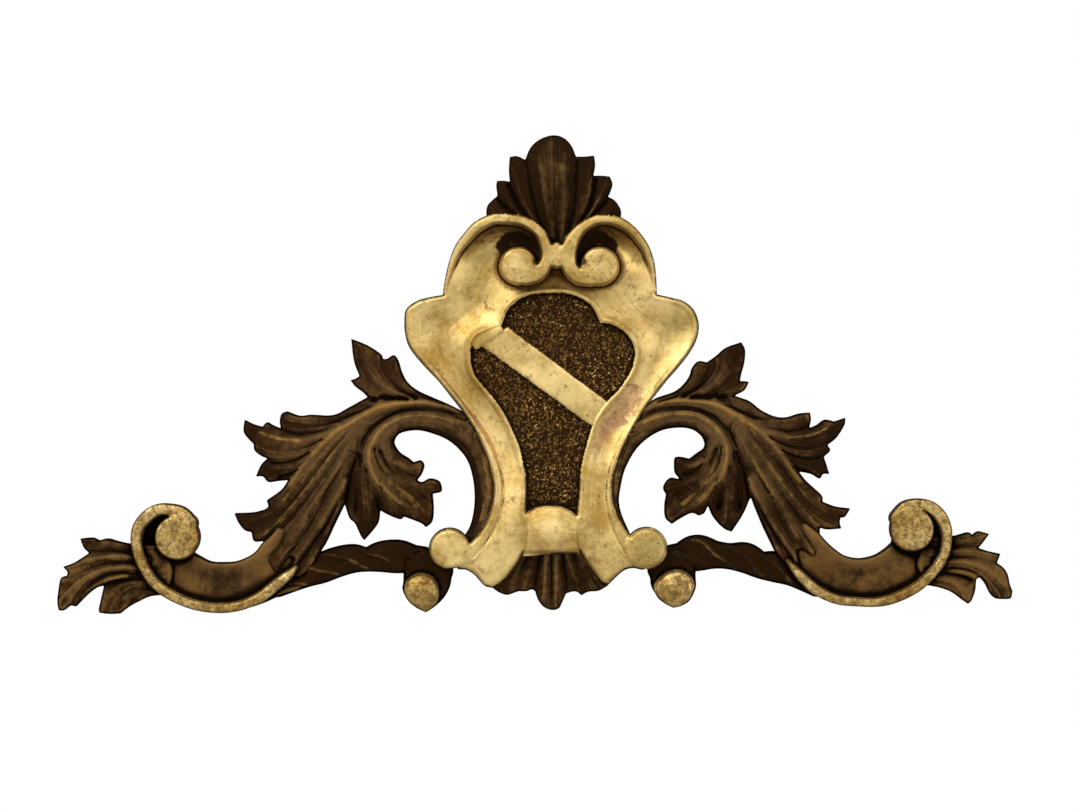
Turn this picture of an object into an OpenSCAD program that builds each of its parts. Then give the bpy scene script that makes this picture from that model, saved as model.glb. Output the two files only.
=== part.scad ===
// Broken scroll pediment: a carved cresting in three pieces of wood.
// A gilded cartouche with two inward scrolls stands between two dark acanthus wings,
// each of which ends in a volute with a gilded fillet.
// X runs along the width, +Z is up, and the front faces -Y. The flat back is the plane y = 0.

/* [Cartouche] */
// Width of the cartouche, ear to ear
cartouche_w = 326; // [260:1:400]
// Height of the cartouche, from its feet to the top of its scrolls
cartouche_h = 409; // [330:1:500]
// Height of the cartouche's feet above the base line
foot_rise = 28; // [22:1:36]
// Distance of the scrolls' middle from the cartouche's middle
scroll_shift = 8; // [0:1:12]
// Width of the fillet at the turn of each scroll
scroll_fillet_w = 13; // [10:1:16]
// Radius of the eye of each scroll
eye_r = 20; // [16:1:24]
// Width of the fillet down each leg
leg_fillet_w = 12; // [9:1:15]
// Radius of the button that ends each leg fillet
button_r = 21; // [17:1:26]
// Width of the bend across the shield
bend_w = 32; // [26:1:40]
// Height of the crown leaf above the scrolls
crown_h = 88; // [70:1:110]

/* [Wings] */
// Length of the left wing, from the cartouche's waist to its outer leaf tip
left_reach = 485; // [400:1:585]
// Length of the right wing, from the cartouche's waist to its outer leaf tip
right_reach = 445; // [370:1:535]
// Height of the wings, from the base line to the tip of the upper leaf
wing_rise = 303; // [250:1:365]
// Width of the left limb, which runs up beside the cartouche
left_limb_w = 22; // [18:1:27]
// Width of the right limb
right_limb_w = 16; // [13:1:20]
// Width of the gilded fillet on each volute
volute_fillet_w = 11; // [9:1:14]
// Radius of the eye of each volute
volute_eye_r = 24; // [20:1:29]
// Radius of the ball foot at the inner end of each rail
ball_r = 24; // [20:1:29]

/* [Depth] */
// Depth of the cartouche at its scrolls, the deepest point of the whole
scroll_d = 60; // [50:1:72]
// Depth of the cartouche's outer rim
rim_d = 33; // [28:1:40]
// Depth of the border round the shield
border_d = 36; // [30:1:44]
// Depth of the hollow between the rim and the border
dish_d = 25; // [20:1:30]
// Depth of the hollow under the scrolls
recess_d = 15; // [12:1:18]
// Depth of the sanded field
field_d = 27; // [22:1:32]
// Depth of the bend on the field
bend_d = 34; // [29:1:41]
// Depth of the keystone
keystone_d = 48; // [40:1:58]
// Depth of the highest leaf ribs
rib_d = 44; // [37:1:53]
// Depth of the gilded volute fillets and balls
volute_d = 42; // [35:1:50]
// Gap at the joint between a wing and the cartouche
joint_gap = 0.3; // [0.1:0.1:0.5]

/* [Fixing] */
// Height of the fixing point, the origin, above the base line
mount_h = 235; // [200:1:270]

/* [Hidden] */

gold = "goldenrod";
dark = "#3b2a1a";

// The tables below give places as the piece was drawn, at these sizes.
drawn_cartouche_w = 326;
drawn_cartouche_h = 409;
drawn_foot_rise = 28;
drawn_scroll_top = drawn_foot_rise + drawn_cartouche_h;
drawn_crown_h = 88;
drawn_waist = 62;
drawn_left_reach = 485;
drawn_right_reach = 445;
drawn_wing_rise = 303;

cartouche_kx = cartouche_w / drawn_cartouche_w;
cartouche_kz = cartouche_h / drawn_cartouche_h;
waist = drawn_waist * cartouche_kx;
scroll_top = foot_rise + cartouche_h;
wing_kz = wing_rise / drawn_wing_rise;

// Half of the cartouche's border, from the top middle clockwise to the bottom middle.
// Each row is [outer x, outer z, shield x, shield z].
border_top = [
    [0, 398, 0, 352], [22, 410, 16, 351], [48, 430, 31, 346],
    [78, 429, 42, 334], [101, 410, 48, 325], [114, 382, 52, 318], [117, 350, 56, 314]];
border_ear = [
    [139, 346, 68, 313], [156, 335, 80, 306], [163, 315, 89, 295],
    [156, 292, 91, 279], [136, 264, 85, 260], [113, 238, 70, 244], [94, 213, 56, 228],
    [78, 184, 44, 203], [67, 155, 36, 172], [62, 128, 30, 138], [61, 104, 27, 109]];
border_foot = [
    [56, 84, 21, 113], [44, 70, 14, 114], [24, 65, 7, 115], [0, 65, 0, 115]];

// Rows of a table of strokes: [stations, front depth at the root, at the tip, lift of the tip's back,
// hollow]. A station is [distance outward, height, half width]. A negative hollow is a round back.
// Leg moulding, from the shield's side down to the foot.
leg_rows = [
    [[[82, 250, 4], [64, 222, 9], [50, 188, 12], [43, 150, 13], [42, 115, 15], [46, 84, 18],
      [58, 62, 24], [70, 47, 20], [70, 35, 11], [67, 28, 2]], 36, 34, 0, -0.25]];
// Lobes of the crown leaf, from the middle outward.
crown_side_rows = [
    [[[7, 414, 9], [47, 436, 11], [68, 444, 8], [77, 448, 3]], 34, 24, 6, 0.3],
    [[[4, 410, 9], [36, 446, 12], [56, 464, 10], [66, 476, 4]], 37, 26, 6, 0.3],
    [[[3, 405, 9], [23, 450, 13], [38, 482, 12], [47, 501, 5]], 40, 28, 6, 0.3]];
crown_middle_rows = [
    [[[0, 396, 5], [0, 440, 13], [0, 478, 24], [0, 503, 26], [0, 518, 15], [0, 525, 4]], 42, 30, 6, 0.25]];
// Lobes of the leaf between the feet.
foot_side_rows = [
    [[[20, 72, 8], [38, 46, 12], [51, 30, 9], [57, 22, 3]], 26, 20, 3, 0.3],
    [[[13, 74, 8], [25, 46, 11], [31, 28, 8], [34, 19, 3]], 28, 20, 3, 0.3]];
foot_middle_rows = [
    [[[0, 76, 9], [0, 44, 16], [0, 20, 15], [0, 8, 9], [0, 2, 2]], 31, 22, 3, 0.3]];

// Leaves of the left wing: up leaf, outer leaf, big leaf, hanging leaf and inner leaf.
left_leaf_rows = [
    [[[132, 222, 10], [172, 244, 18], [202, 270, 14], [218, 303, 1]], 36, 22, 8, 0.3],
    [[[145, 230, 9], [162, 248, 9], [170, 266, 8], [176, 284, 3]], 34, 24, 8, 0.3],
    [[[172, 236, 10], [196, 243, 10], [211, 250, 6], [220, 258, 1]], 32, 22, 8, 0.3],
    [[[135, 226, 12], [185, 226, 14], [235, 211, 11], [270, 209, 9], [290, 213, 8], [297, 221, 3]], 40, 24, 8, 0.3],
    [[[160, 224, 12], [220, 208, 13], [275, 197, 11], [310, 200, 10], [339, 213, 1]], rib_d - 2, 22, 10, 0.3],
    [[[175, 220, 12], [235, 196, 12], [285, 183, 10], [310, 181, 8], [328, 183, 1]], 40, 22, 8, 0.3],
    [[[180, 215, 12], [235, 186, 13], [280, 163, 13], [305, 156, 9], [326, 150, 1]], 38, 22, 8, 0.3],
    [[[180, 212, 12], [230, 180, 14], [272, 146, 13], [298, 130, 7], [315, 124, 1]], 40, 24, 6, 0.3],
    [[[175, 212, 12], [228, 176, 15], [272, 134, 18], [310, 108, 13], [349, 110, 1]], rib_d, 24, 8, 0.3],
    [[[180, 206, 10], [228, 164, 13], [272, 118, 15], [305, 92, 11], [330, 80, 1]], rib_d - 2, 28, 4, 0.3],
    [[[190, 196, 10], [232, 152, 12], [268, 106, 14], [290, 76, 12], [304, 50, 2]], rib_d - 2, 32, 0, 0.3],
    [[[193, 190, 8], [203, 152, 13], [210, 116, 16], [207, 80, 1]], 34, 20, 6, 0.3],
    [[[190, 170, 9], [184, 134, 13], [174, 114, 9], [164, 104, 1]], 34, 20, 6, 0.3],
    [[[188, 176, 9], [180, 142, 14], [158, 118, 16], [138, 95, 1]], 36, 20, 8, 0.3],
    [[[184, 178, 9], [172, 152, 13], [148, 139, 11], [128, 140, 8], [121, 140, 5]], 34, 22, 8, 0.3],
    [[[184, 192, 10], [177, 174, 10], [163, 160, 11], [150, 158, 10], [142, 162, 5]], 34, 22, 6, 0.3]];
// Round ribs of the left wing: the outer rib into the big leaf, the inner rib round the opening,
// and the rib that runs from the big leaf into the volute.
left_rib_rows = [
    [[[112, 210, 12], [150, 224, 9], [188, 218, 7], [225, 192, 6], [262, 152, 4], [286, 120, 2]], rib_d - 2, 34, 0, -0.5],
    [[[112, 205, 12], [146, 209, 9], [176, 204, 8], [190, 190, 8], [193, 168, 7], [184, 142, 4], [168, 126, 2]], rib_d - 2, 30, 0, -0.5],
    [[[214, 150, 6], [234, 124, 10], [254, 90, 12], [276, 62, 14], [302, 40, 14]], 30, 26, 0, -0.3]];
left_volute_row = [[[262, 100, 24], [292, 66, 26], [325, 36, 25], [362, 31, 25], [398, 38, 26],
    [424, 52, 22], [438, 74, 18], [440, 94, 15], [430, 106, 9]], 26, 18, 0, 0.15];
left_fillet = [[284, 46, 4.5], [300, 31, 5.5], [328, 14, 5.5], [358, 8, 5.5], [390, 12, 5.5], [419, 25, 5.5],
    [441, 46, 5.5], [454, 70, 5.5], [456, 92, 5.5], [448, 108, 6], [432, 115, 7], [416, 112, 8]];
left_eye = [412, 86];
left_end_rows = [
    [[[442, 50, 14], [482, 66, 14], [504, 76, 9], [519, 84, 1]], 24, 16, 4, 0.3],
    [[[442, 46, 14], [488, 54, 13], [518, 54, 9], [538, 52, 1]], 26, 18, 6, 0.3],
    [[[442, 44, 14], [492, 46, 14], [524, 34, 14], [541, 18, 9], [545, 6, 3]], 28, 18, 6, 0.3],
    [[[434, 36, 12], [466, 32, 13], [484, 20, 13], [490, 8, 8]], 26, 18, 4, 0.3]];
left_rail_row = [[[300, 36, 14], [268, 48, 18], [228, 58, 18], [196, 60, 13], [170, 60, 18], [148, 54, 17],
    [132, 44, 18]], 24, 26, 0, -0.2];
left_ball = [141, 24];

// The same parts of the right wing.
right_leaf_rows = [
    [[[128, 222, 9], [163, 244, 16], [190, 266, 16], [205, 284, 9], [208, 297, 2]], 36, 22, 8, 0.3],
    [[[133, 228, 8], [150, 244, 8], [160, 260, 7], [166, 273, 4]], 34, 24, 8, 0.3],
    [[[170, 236, 10], [194, 240, 9], [209, 246, 6], [220, 252, 1]], 32, 22, 8, 0.3],
    [[[140, 226, 10], [185, 222, 12], [230, 209, 10], [262, 208, 9], [278, 211, 7], [286, 217, 2]], 38, 24, 8, 0.3],
    [[[160, 222, 12], [212, 204, 13], [258, 193, 11], [294, 197, 11], [314, 204, 6], [325, 211, 2]], rib_d - 2, 22, 10, 0.3],
    [[[175, 214, 10], [222, 194, 12], [265, 180, 10], [293, 178, 8], [309, 176, 1]], 38, 22, 8, 0.3],
    [[[185, 208, 10], [232, 186, 12], [268, 170, 13], [290, 160, 10], [307, 150, 1]], 38, 22, 8, 0.3],
    [[[180, 210, 12], [220, 178, 14], [256, 148, 13], [280, 130, 9], [299, 121, 1]], 40, 24, 6, 0.3],
    [[[178, 206, 11], [218, 166, 14], [254, 130, 16], [290, 110, 13], [330, 111, 1]], rib_d - 2, 24, 8, 0.3],
    [[[190, 190, 9], [222, 152, 12], [254, 116, 15], [288, 100, 12], [319, 91, 1]], 40, 26, 4, 0.3],
    [[[196, 176, 8], [222, 138, 11], [246, 104, 13], [266, 76, 13], [282, 56, 4]], 38, 30, 0, 0.3],
    [[[186, 186, 9], [196, 152, 15], [198, 118, 17], [196, 88, 1]], 36, 20, 6, 0.3],
    [[[185, 170, 9], [180, 138, 13], [170, 116, 10], [161, 104, 1]], 34, 20, 6, 0.3],
    [[[182, 172, 9], [170, 142, 14], [150, 120, 17], [132, 97, 2]], 36, 20, 8, 0.3],
    [[[180, 174, 9], [166, 150, 12], [146, 138, 12], [130, 138, 9], [124, 139, 4]], 34, 22, 8, 0.3],
    [[[178, 186, 10], [172, 172, 11], [160, 161, 12], [145, 159, 11], [137, 164, 5]], 34, 22, 6, 0.3]];
right_rib_rows = [
    [[[108, 208, 11], [144, 222, 9], [180, 218, 7], [216, 194, 6], [244, 162, 4], [262, 134, 2]], rib_d - 2, 34, 0, -0.5],
    [[[108, 204, 11], [140, 210, 9], [168, 204, 8], [184, 190, 8], [189, 168, 7], [181, 146, 4], [164, 128, 2]], rib_d - 2, 30, 0, -0.5],
    [[[206, 150, 6], [226, 118, 11], [244, 86, 14], [264, 60, 14], [290, 40, 14]], 30, 26, 0, -0.3]];
right_volute_row = [[[246, 98, 22], [270, 66, 26], [302, 38, 25], [338, 33, 25], [372, 40, 25],
    [398, 54, 21], [414, 74, 17], [417, 94, 14], [408, 107, 8]], 26, 18, 0, 0.15];
right_fillet = [[256, 55, 4.5], [275, 34, 5.5], [300, 18, 5.5], [325, 11, 5.5], [352, 10, 5.5], [380, 18, 5.5],
    [406, 32, 5.5], [425, 54, 5.5], [433, 78, 5.5], [430, 96, 6], [418, 111, 7], [402, 115, 8]];
right_eye = [395, 90];
right_end_rows = [
    [[[414, 54, 14], [450, 68, 14], [468, 76, 9], [482, 81, 1]], 24, 16, 4, 0.3],
    [[[414, 50, 14], [456, 56, 13], [478, 60, 7], [494, 62, 1]], 26, 18, 6, 0.3],
    [[[414, 46, 14], [460, 48, 14], [488, 36, 13], [500, 20, 8], [503, 10, 3]], 28, 18, 6, 0.3],
    [[[406, 40, 12], [436, 36, 13], [454, 24, 12], [460, 12, 7], [459, 6, 2]], 26, 18, 4, 0.3]];
right_rail_row = [[[290, 34, 12], [255, 46, 17], [222, 54, 15], [196, 59, 16], [168, 64, 18], [145, 58, 18],
    [124, 44, 17]], 24, 26, 0, -0.2];
right_ball = [133, 25];

back_set_in = 0.72; // a lobe's back is this share of its width, so that its sides lean in
edge_share = 0.5;   // height of a lobe's edge, as a share of its depth there
rim_slope = 2;      // the cartouche's outer wall leans in by this much
rim_w = 6;          // width of the cartouche's rim
disc_rim = 3;       // width of the round-over on a disc
tuck = 2;           // the limb is drawn this far into the cartouche, then cut to it

function at(list, i) = list[max(0, min(len(list) - 1, i))];

// Unit vector across a path at station i.
function across(path, i) =
    let (d = at(path, i + 1) - at(path, i - 1), l = norm([d[0], d[1]]))
    [-d[1] / l, d[0] / l];

function mix(a, b, t) = a * (1 - t) + b * t;
function ramp(v, low, high) = max(0, min(1, (v - low) / (high - low)));

// Places are whole steps of 1/64 mm, so that pieces that share a point share it exactly at any size.
function snap(v) = round(v * 64) / 64;

// Places on the cartouche and on the wings at their own sizes.
function cartouche_x(x) = snap(x * cartouche_kx);
function cartouche_z(z) = snap(z > drawn_scroll_top
    ? scroll_top + (z - drawn_scroll_top) * crown_h / drawn_crown_h
    : foot_rise + (z - drawn_foot_rise) * cartouche_kz);
function cartouche_station(p) = [cartouche_x(p[0]), cartouche_z(p[1]), cartouche_x(p[2])];
function wing_station(p, kx) = [snap(waist + (p[0] - drawn_waist) * kx), snap(p[1] * wing_kz), snap(p[2] * (kx + wing_kz) / 2)];

// Closed solid through rings of equally many points.
module skin(rings) {
    m = len(rings[0]);
    last = (len(rings) - 1) * m;
    polyhedron(
        points = [for (ring = rings, p = ring) p],
        faces = concat(
            [[for (j = [m - 1:-1:0]) j]],
            [for (i = [0:len(rings) - 2], j = [0:m - 1])
                [i * m + j, i * m + (j + 1) % m, (i + 1) * m + (j + 1) % m, (i + 1) * m + j]],
            [[for (j = [0:m - 1]) last + j]]));
}

// One leaf lobe, rib or moulding: a ridged section drawn along a curve.
// path holds [x, z, half width]; front runs from root to tip, and the tip's back lifts off the wall.
module stroke(path, root_d, tip_d, lift, hollow) {
    last = len(path) - 1;
    section = [[-back_set_in, 0, 0], [-1, edge_share, 0], [0, 1, 1], [1, edge_share, 0], [back_set_in, 0, 0]];
    skin([for (i = [0:last])
        let (p = path[i], n = across(path, i), w = p[2], share = i / last,
            front = mix(root_d, tip_d, share), back = lift * share * share)
        [for (s = section)
            [p[0] + n[0] * s[0] * w, -(mix(back, front, s[1]) - s[2] * hollow * w), p[1] + n[1] * s[0] * w]]]);
}

module cartouche_strokes(rows) {
    for (row = rows)
        stroke([for (p = row[0]) cartouche_station(p)], row[1], row[2], row[3], row[4]);
}

module wing_strokes(rows, kx) {
    for (row = rows)
        stroke([for (p = row[0]) wing_station(p, kx)], row[1], row[2], row[3], row[4]);
}

// A round post from the back to depth d, with its edge rounded over.
module disc(x, z, r, d) {
    translate([x, 0, z])
        rotate([90, 0, 0])
            hull() {
                cylinder(r = r, h = d - disc_rim, $fn = 18);
                cylinder(r = r - disc_rim, h = d, $fn = 18);
            }
}

// A flat-faced band along a line of [x, z, half width, depth].
module band(line) {
    for (i = [0:len(line) - 2])
        hull()
            for (p = [line[i], line[i + 1]])
                translate([p[0], 0, p[1]])
                    rotate([90, 0, 0])
                        cylinder(r = p[2], h = p[3], $fn = 6);
}

// Cartouche ------------------------------------------------------------

// Half of the border at the cartouche's own size.
border = [for (p = concat(border_top, border_ear, border_foot))
    [cartouche_x(p[0]), cartouche_z(p[1]), cartouche_x(p[2]), cartouche_z(p[3])]];

// The top of the cartouche leans sideways by the shift of its scrolls.
function shifted(x, z) = x + scroll_shift * (1 - ramp(abs(x), 50, 110)) * ramp(z, cartouche_z(355), cartouche_z(395));

function mirrored(half) = [for (p = concat(half, [for (i = [len(half) - 2:-1:1]) [-half[i][0], half[i][1], half[i][2]]]))
    [shifted(p[0], p[2]), p[1], p[2]]];

// One ring of the plate: share runs from the outer edge to the shield, in is a distance from the outer edge.
function plate_ring(share, in, depths) = mirrored([for (i = [0:len(border) - 1])
    let (o = [border[i][0], border[i][1]], s = [border[i][2], border[i][3]],
        t = min(1, share + in / norm(s - o)), p = mix(o, s, t))
    [p[0], -mix(depths[0], depths[1], ramp(p[1], cartouche_z(340), cartouche_z(375))), p[1]]]);

module plate() {
    skin([
        plate_ring(0, 0, [0, 0]),
        plate_ring(0, rim_slope, [rim_d - 4, rim_d - 4]),
        plate_ring(0, rim_slope + 2, [rim_d, rim_d]),
        plate_ring(0, rim_w, [rim_d - 1, rim_d - 4]),
        plate_ring(0.5, 0, [dish_d, recess_d]),
        plate_ring(0.82, 0, [border_d - 4, recess_d + 4]),
        plate_ring(0.97, 0, [border_d, border_d - 4]),
        plate_ring(1, 0, [field_d, field_d])]);
}

// Centre line of a scroll's fillet, from the shoulder over the top and down to the eye.
scroll_line = [[117, 354, 3], [113, 382, 3.5], [99, 409, 4.5], [75, 428, 5.5], [50, 431, 6.5], [27, 421, 6.5],
    [13, 404, 6.5], [9, 386, 6.5], [15, 370, 7], [29, 362, 8]];
scroll_eye = [45, 382];

module scroll(side) {
    k = scroll_fillet_w / 13;
    last = len(scroll_line) - 1;
    top_z = cartouche_z(drawn_scroll_top);
    band([for (i = [0:last])
        let (p = scroll_line[i])
        [shifted(side * cartouche_x(p[0]), top_z), cartouche_z(p[1]), p[2] * k,
            mix(rim_d + 2, scroll_d, ramp(i / last, 0, 0.4))]]);
    disc(shifted(side * cartouche_x(scroll_eye[0]), top_z), cartouche_z(scroll_eye[1]), eye_r, scroll_d - 3);
}

// The saddle that ties the two scrolls together under the crown leaf.
module saddle() {
    hull() {
        disc(scroll_shift, cartouche_z(402), 6, scroll_d - 8);
        disc(scroll_shift, cartouche_z(380), 8, scroll_d - 8);
    }
}

leg_fillet_line = [[148, 276, 3], [126, 250, 3], [106, 226, 4], [89, 202, 5], [75, 172, 6], [65, 145, 6],
    [61, 118, 6], [63, 92, 6], [74, 72, 6.5], [98, 58, 8]];
button = [109, 71];

module leg_fillet() {
    k = leg_fillet_w / 12;
    band([for (p = leg_fillet_line) [cartouche_x(p[0] - p[2]), cartouche_z(p[1]), p[2] * k, rim_d + 3]]);
    disc(cartouche_x(button[0]), cartouche_z(button[1]), button_r, rim_d + 6);
}

// The shield's bend, a flat band from the upper left to the lower right, let into the border at its ends.
module bend() {
    intersection() {
        translate([0, 0, cartouche_z(262)])
            rotate([90, 0, 0])
                linear_extrude(bend_d)
                    rotate(-36)
                        square([260, bend_w], center = true);
        rotate([90, 0, 0])
            linear_extrude(bend_d)
                polygon([for (p = plate_ring(0.9, 0, [0, 0])) [p[0], p[2]]]);
    }
}

module keystone() {
    half = 27 * cartouche_kx;
    rotate([90, 0, 0])
        hull() {
            linear_extrude(keystone_d - 6)
                polygon([for (p = [[-1, 66], [1, 66], [1, 109], [0.5, 116], [0, 118], [-0.5, 116], [-1, 109]])
                    [p[0] * half, cartouche_z(p[1])]]);
            linear_extrude(keystone_d)
                polygon([for (p = [[-1, 70], [1, 70], [1, 107], [0, 113], [-1, 107]])
                    [p[0] * half * 0.6, cartouche_z(p[1])]]);
        }
}

module cartouche() {
    color(gold) union() {
        plate();
        bend();
        keystone();
        saddle();
        scroll(1);
        scroll(-1);
        for (side = [0, 1])
            mirror([side, 0, 0]) {
                leg_fillet();
                cartouche_strokes(leg_rows);
                cartouche_strokes(foot_side_rows);
            }
        for (side = [0, 1])
            translate([scroll_shift / 2, 0, 0])
                mirror([side, 0, 0])
                    cartouche_strokes(crown_side_rows);
        translate([scroll_shift / 2, 0, 0])
            cartouche_strokes(crown_middle_rows);
        cartouche_strokes(foot_middle_rows);
    }
}

// The cartouche's outline, grown by the joint's gap, right through.
module cartouche_footprint() {
    rotate([90, 0, 0])
        translate([0, 0, -1])
            linear_extrude(scroll_d + 2)
                offset(delta = joint_gap) {
                    polygon([for (p = plate_ring(0, 0, [0, 0])) [p[0], p[2]]]);
                    for (side = [-1, 1]) {
                        translate([side * cartouche_x(button[0]), cartouche_z(button[1])])
                            circle(r = button_r, $fn = 28);
                        for (i = [0:len(leg_fillet_line) - 2])
                            hull()
                                for (p = [leg_fillet_line[i], leg_fillet_line[i + 1]])
                                    translate([side * cartouche_x(p[0] - p[2]), cartouche_z(p[1])])
                                        circle(r = p[2] * leg_fillet_w / 12, $fn = 16);
                    }
                }
}

// Wings ------------------------------------------------------------

// The limb follows the leg up the cartouche's side, then bends outward into the arch.
limb_foot = [[92, 82, 4], [76, 98, 8]];
limb_side = [[61, 118], [62, 140], [68, 163], [79, 188]];
limb_arch = [[108, 206, 13], [135, 214, 15], [165, 212, 15], [190, 198, 12]];

module limb(limb_w, kx) {
    stroke(concat(
            [for (p = limb_foot) cartouche_station(p)],
            [for (p = limb_side) [cartouche_x(p[0]) + limb_w / 2 - tuck, cartouche_z(p[1]), limb_w / 2]],
            [for (p = limb_arch) wing_station(p, kx)]),
        28, 36, 0, -0.3);
}

module wing(leaves, ribs, volute, fillet, eye, leaf_end, rail, ball, limb_w, kx) {
    fillet_k = volute_fillet_w / 11;
    eye_at = wing_station([eye[0], eye[1], 0], kx);
    ball_at = wing_station([ball[0], ball[1], 0], kx);
    color(dark)
        difference() {
            union() {
                limb(limb_w, kx);
                wing_strokes(leaves, kx);
                wing_strokes(ribs, kx);
                wing_strokes([volute, rail], kx);
                wing_strokes(leaf_end, kx);
                band([for (p = fillet)
                    let (s = wing_station(p, kx)) [s[0], s[1], p[2] * fillet_k, volute_d - 4]]);
                disc(eye_at[0], eye_at[1], volute_eye_r, volute_d);
                disc(ball_at[0], ball_at[1], ball_r, volute_d - 2);
            }
            cartouche_footprint();
        }
}

module left_wing() {
    mirror([1, 0, 0])
        wing(left_leaf_rows, left_rib_rows, left_volute_row, left_fillet, left_eye, left_end_rows,
            left_rail_row, left_ball, left_limb_w, left_reach / drawn_left_reach);
}

module right_wing() {
    wing(right_leaf_rows, right_rib_rows, right_volute_row, right_fillet, right_eye, right_end_rows,
        right_rail_row, right_ball, right_limb_w, right_reach / drawn_right_reach);
}

translate([0, 0, -mount_h]) {
    cartouche();
    left_wing();
    right_wing();
}
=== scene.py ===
import math

import bpy
import numpy as np
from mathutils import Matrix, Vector, geometry


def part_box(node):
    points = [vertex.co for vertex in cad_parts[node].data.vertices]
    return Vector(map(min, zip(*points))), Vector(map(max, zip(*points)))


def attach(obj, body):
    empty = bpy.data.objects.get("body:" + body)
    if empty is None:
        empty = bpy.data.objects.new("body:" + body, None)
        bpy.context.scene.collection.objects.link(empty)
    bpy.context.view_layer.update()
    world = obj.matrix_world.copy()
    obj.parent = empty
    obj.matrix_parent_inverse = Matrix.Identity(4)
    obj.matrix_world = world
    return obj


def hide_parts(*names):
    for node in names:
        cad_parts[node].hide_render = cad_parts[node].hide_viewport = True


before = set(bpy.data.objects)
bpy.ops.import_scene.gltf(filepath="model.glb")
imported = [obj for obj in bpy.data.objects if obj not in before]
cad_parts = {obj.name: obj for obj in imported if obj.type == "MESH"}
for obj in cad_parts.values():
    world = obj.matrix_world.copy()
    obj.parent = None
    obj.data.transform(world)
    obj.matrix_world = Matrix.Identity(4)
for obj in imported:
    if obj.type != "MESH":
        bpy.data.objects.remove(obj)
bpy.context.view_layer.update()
rng = np.random.default_rng(37)
everywhere = (slice(None), slice(None))
outside = -60.0  # height and depth where nothing is carved

# Lengths in the tables are millimetres on the drawn object: x from the cartouche's middle,
# z above the base line and height out of the flat back. A place fits them to the frame's boxes.
drawn = {
    "cartouche": {"x": (-163.0, 163.0), "z": (2.0, 525.0), "depth": 60.0},
    "left_wing": {"x": (-548.2, -61.7), "z": (0.4, 303.4), "depth": 48.0},
    "right_wing": {"x": (61.7, 506.9), "z": (1.4, 297.4), "depth": 47.5},
}


class Place:
    # fits drawn millimetres to a node's box in the frame
    def __init__(self, node):
        low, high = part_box(node)
        size = drawn[node]
        self.xScale = (high.x - low.x) / (size["x"][1] - size["x"][0])
        self.zScale = (high.z - low.z) / (size["z"][1] - size["z"][0])
        self.yScale = -(high.y - low.y) / size["depth"]
        self.xStart = low.x - size["x"][0] * self.xScale
        self.zStart = low.z - size["z"][0] * self.zScale
        self.back = high.y
        self.depth = size["depth"]

    def points(self, x, height, z):
        return np.stack([self.xStart + x * self.xScale, self.back + height * self.yScale,
                         self.zStart + z * self.zScale], 1)


def smoothStep(value, low, high):
    t = np.clip((value - low) / (high - low), 0, 1)
    return t * t * (3 - 2 * t)


def curve(stations, gap=1.6):
    # a smooth line through the stations, whatever they hold
    p = np.array(stations, float)
    p = np.vstack([2 * p[0] - p[1], p, 2 * p[-1] - p[-2]])
    made = []
    for a, b, c, d in zip(p, p[1:], p[2:], p[3:]):
        count = max(2, int(np.hypot(*(c - b)[:2]) / gap))
        t = np.linspace(0, 1, count, endpoint=False)[:, None]
        made.append(0.5 * (2 * b + (c - a) * t + (2 * a - 5 * b + 4 * c - d) * t ** 2
                           + (3 * b - a - 3 * c + d) * t ** 3))
    return np.vstack(made + [p[-2:-1]])


def outline(stretches):
    # a closed line: each stretch is smooth, and runs on to the corner where the next one starts
    return np.vstack([curve([*stretch, following[0]])[:-1]
                      for stretch, following in zip(stretches, stretches[1:] + stretches[:1])])


def blur(field, weight, radius):
    # Gaussian blur that leaves out what has no weight
    rows, cols = field.shape
    fz = np.fft.fftfreq(rows)[:, None]
    fx = np.fft.rfftfreq(cols)[None, :]
    kernel = np.exp(-2 * (math.pi * radius) ** 2 * (fx ** 2 + fz ** 2))

    def run(values):
        return np.fft.irfft2(np.fft.rfft2(values) * kernel, s=field.shape)

    return run(field * weight) / np.maximum(run(weight.astype(float)), 1e-4)


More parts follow.
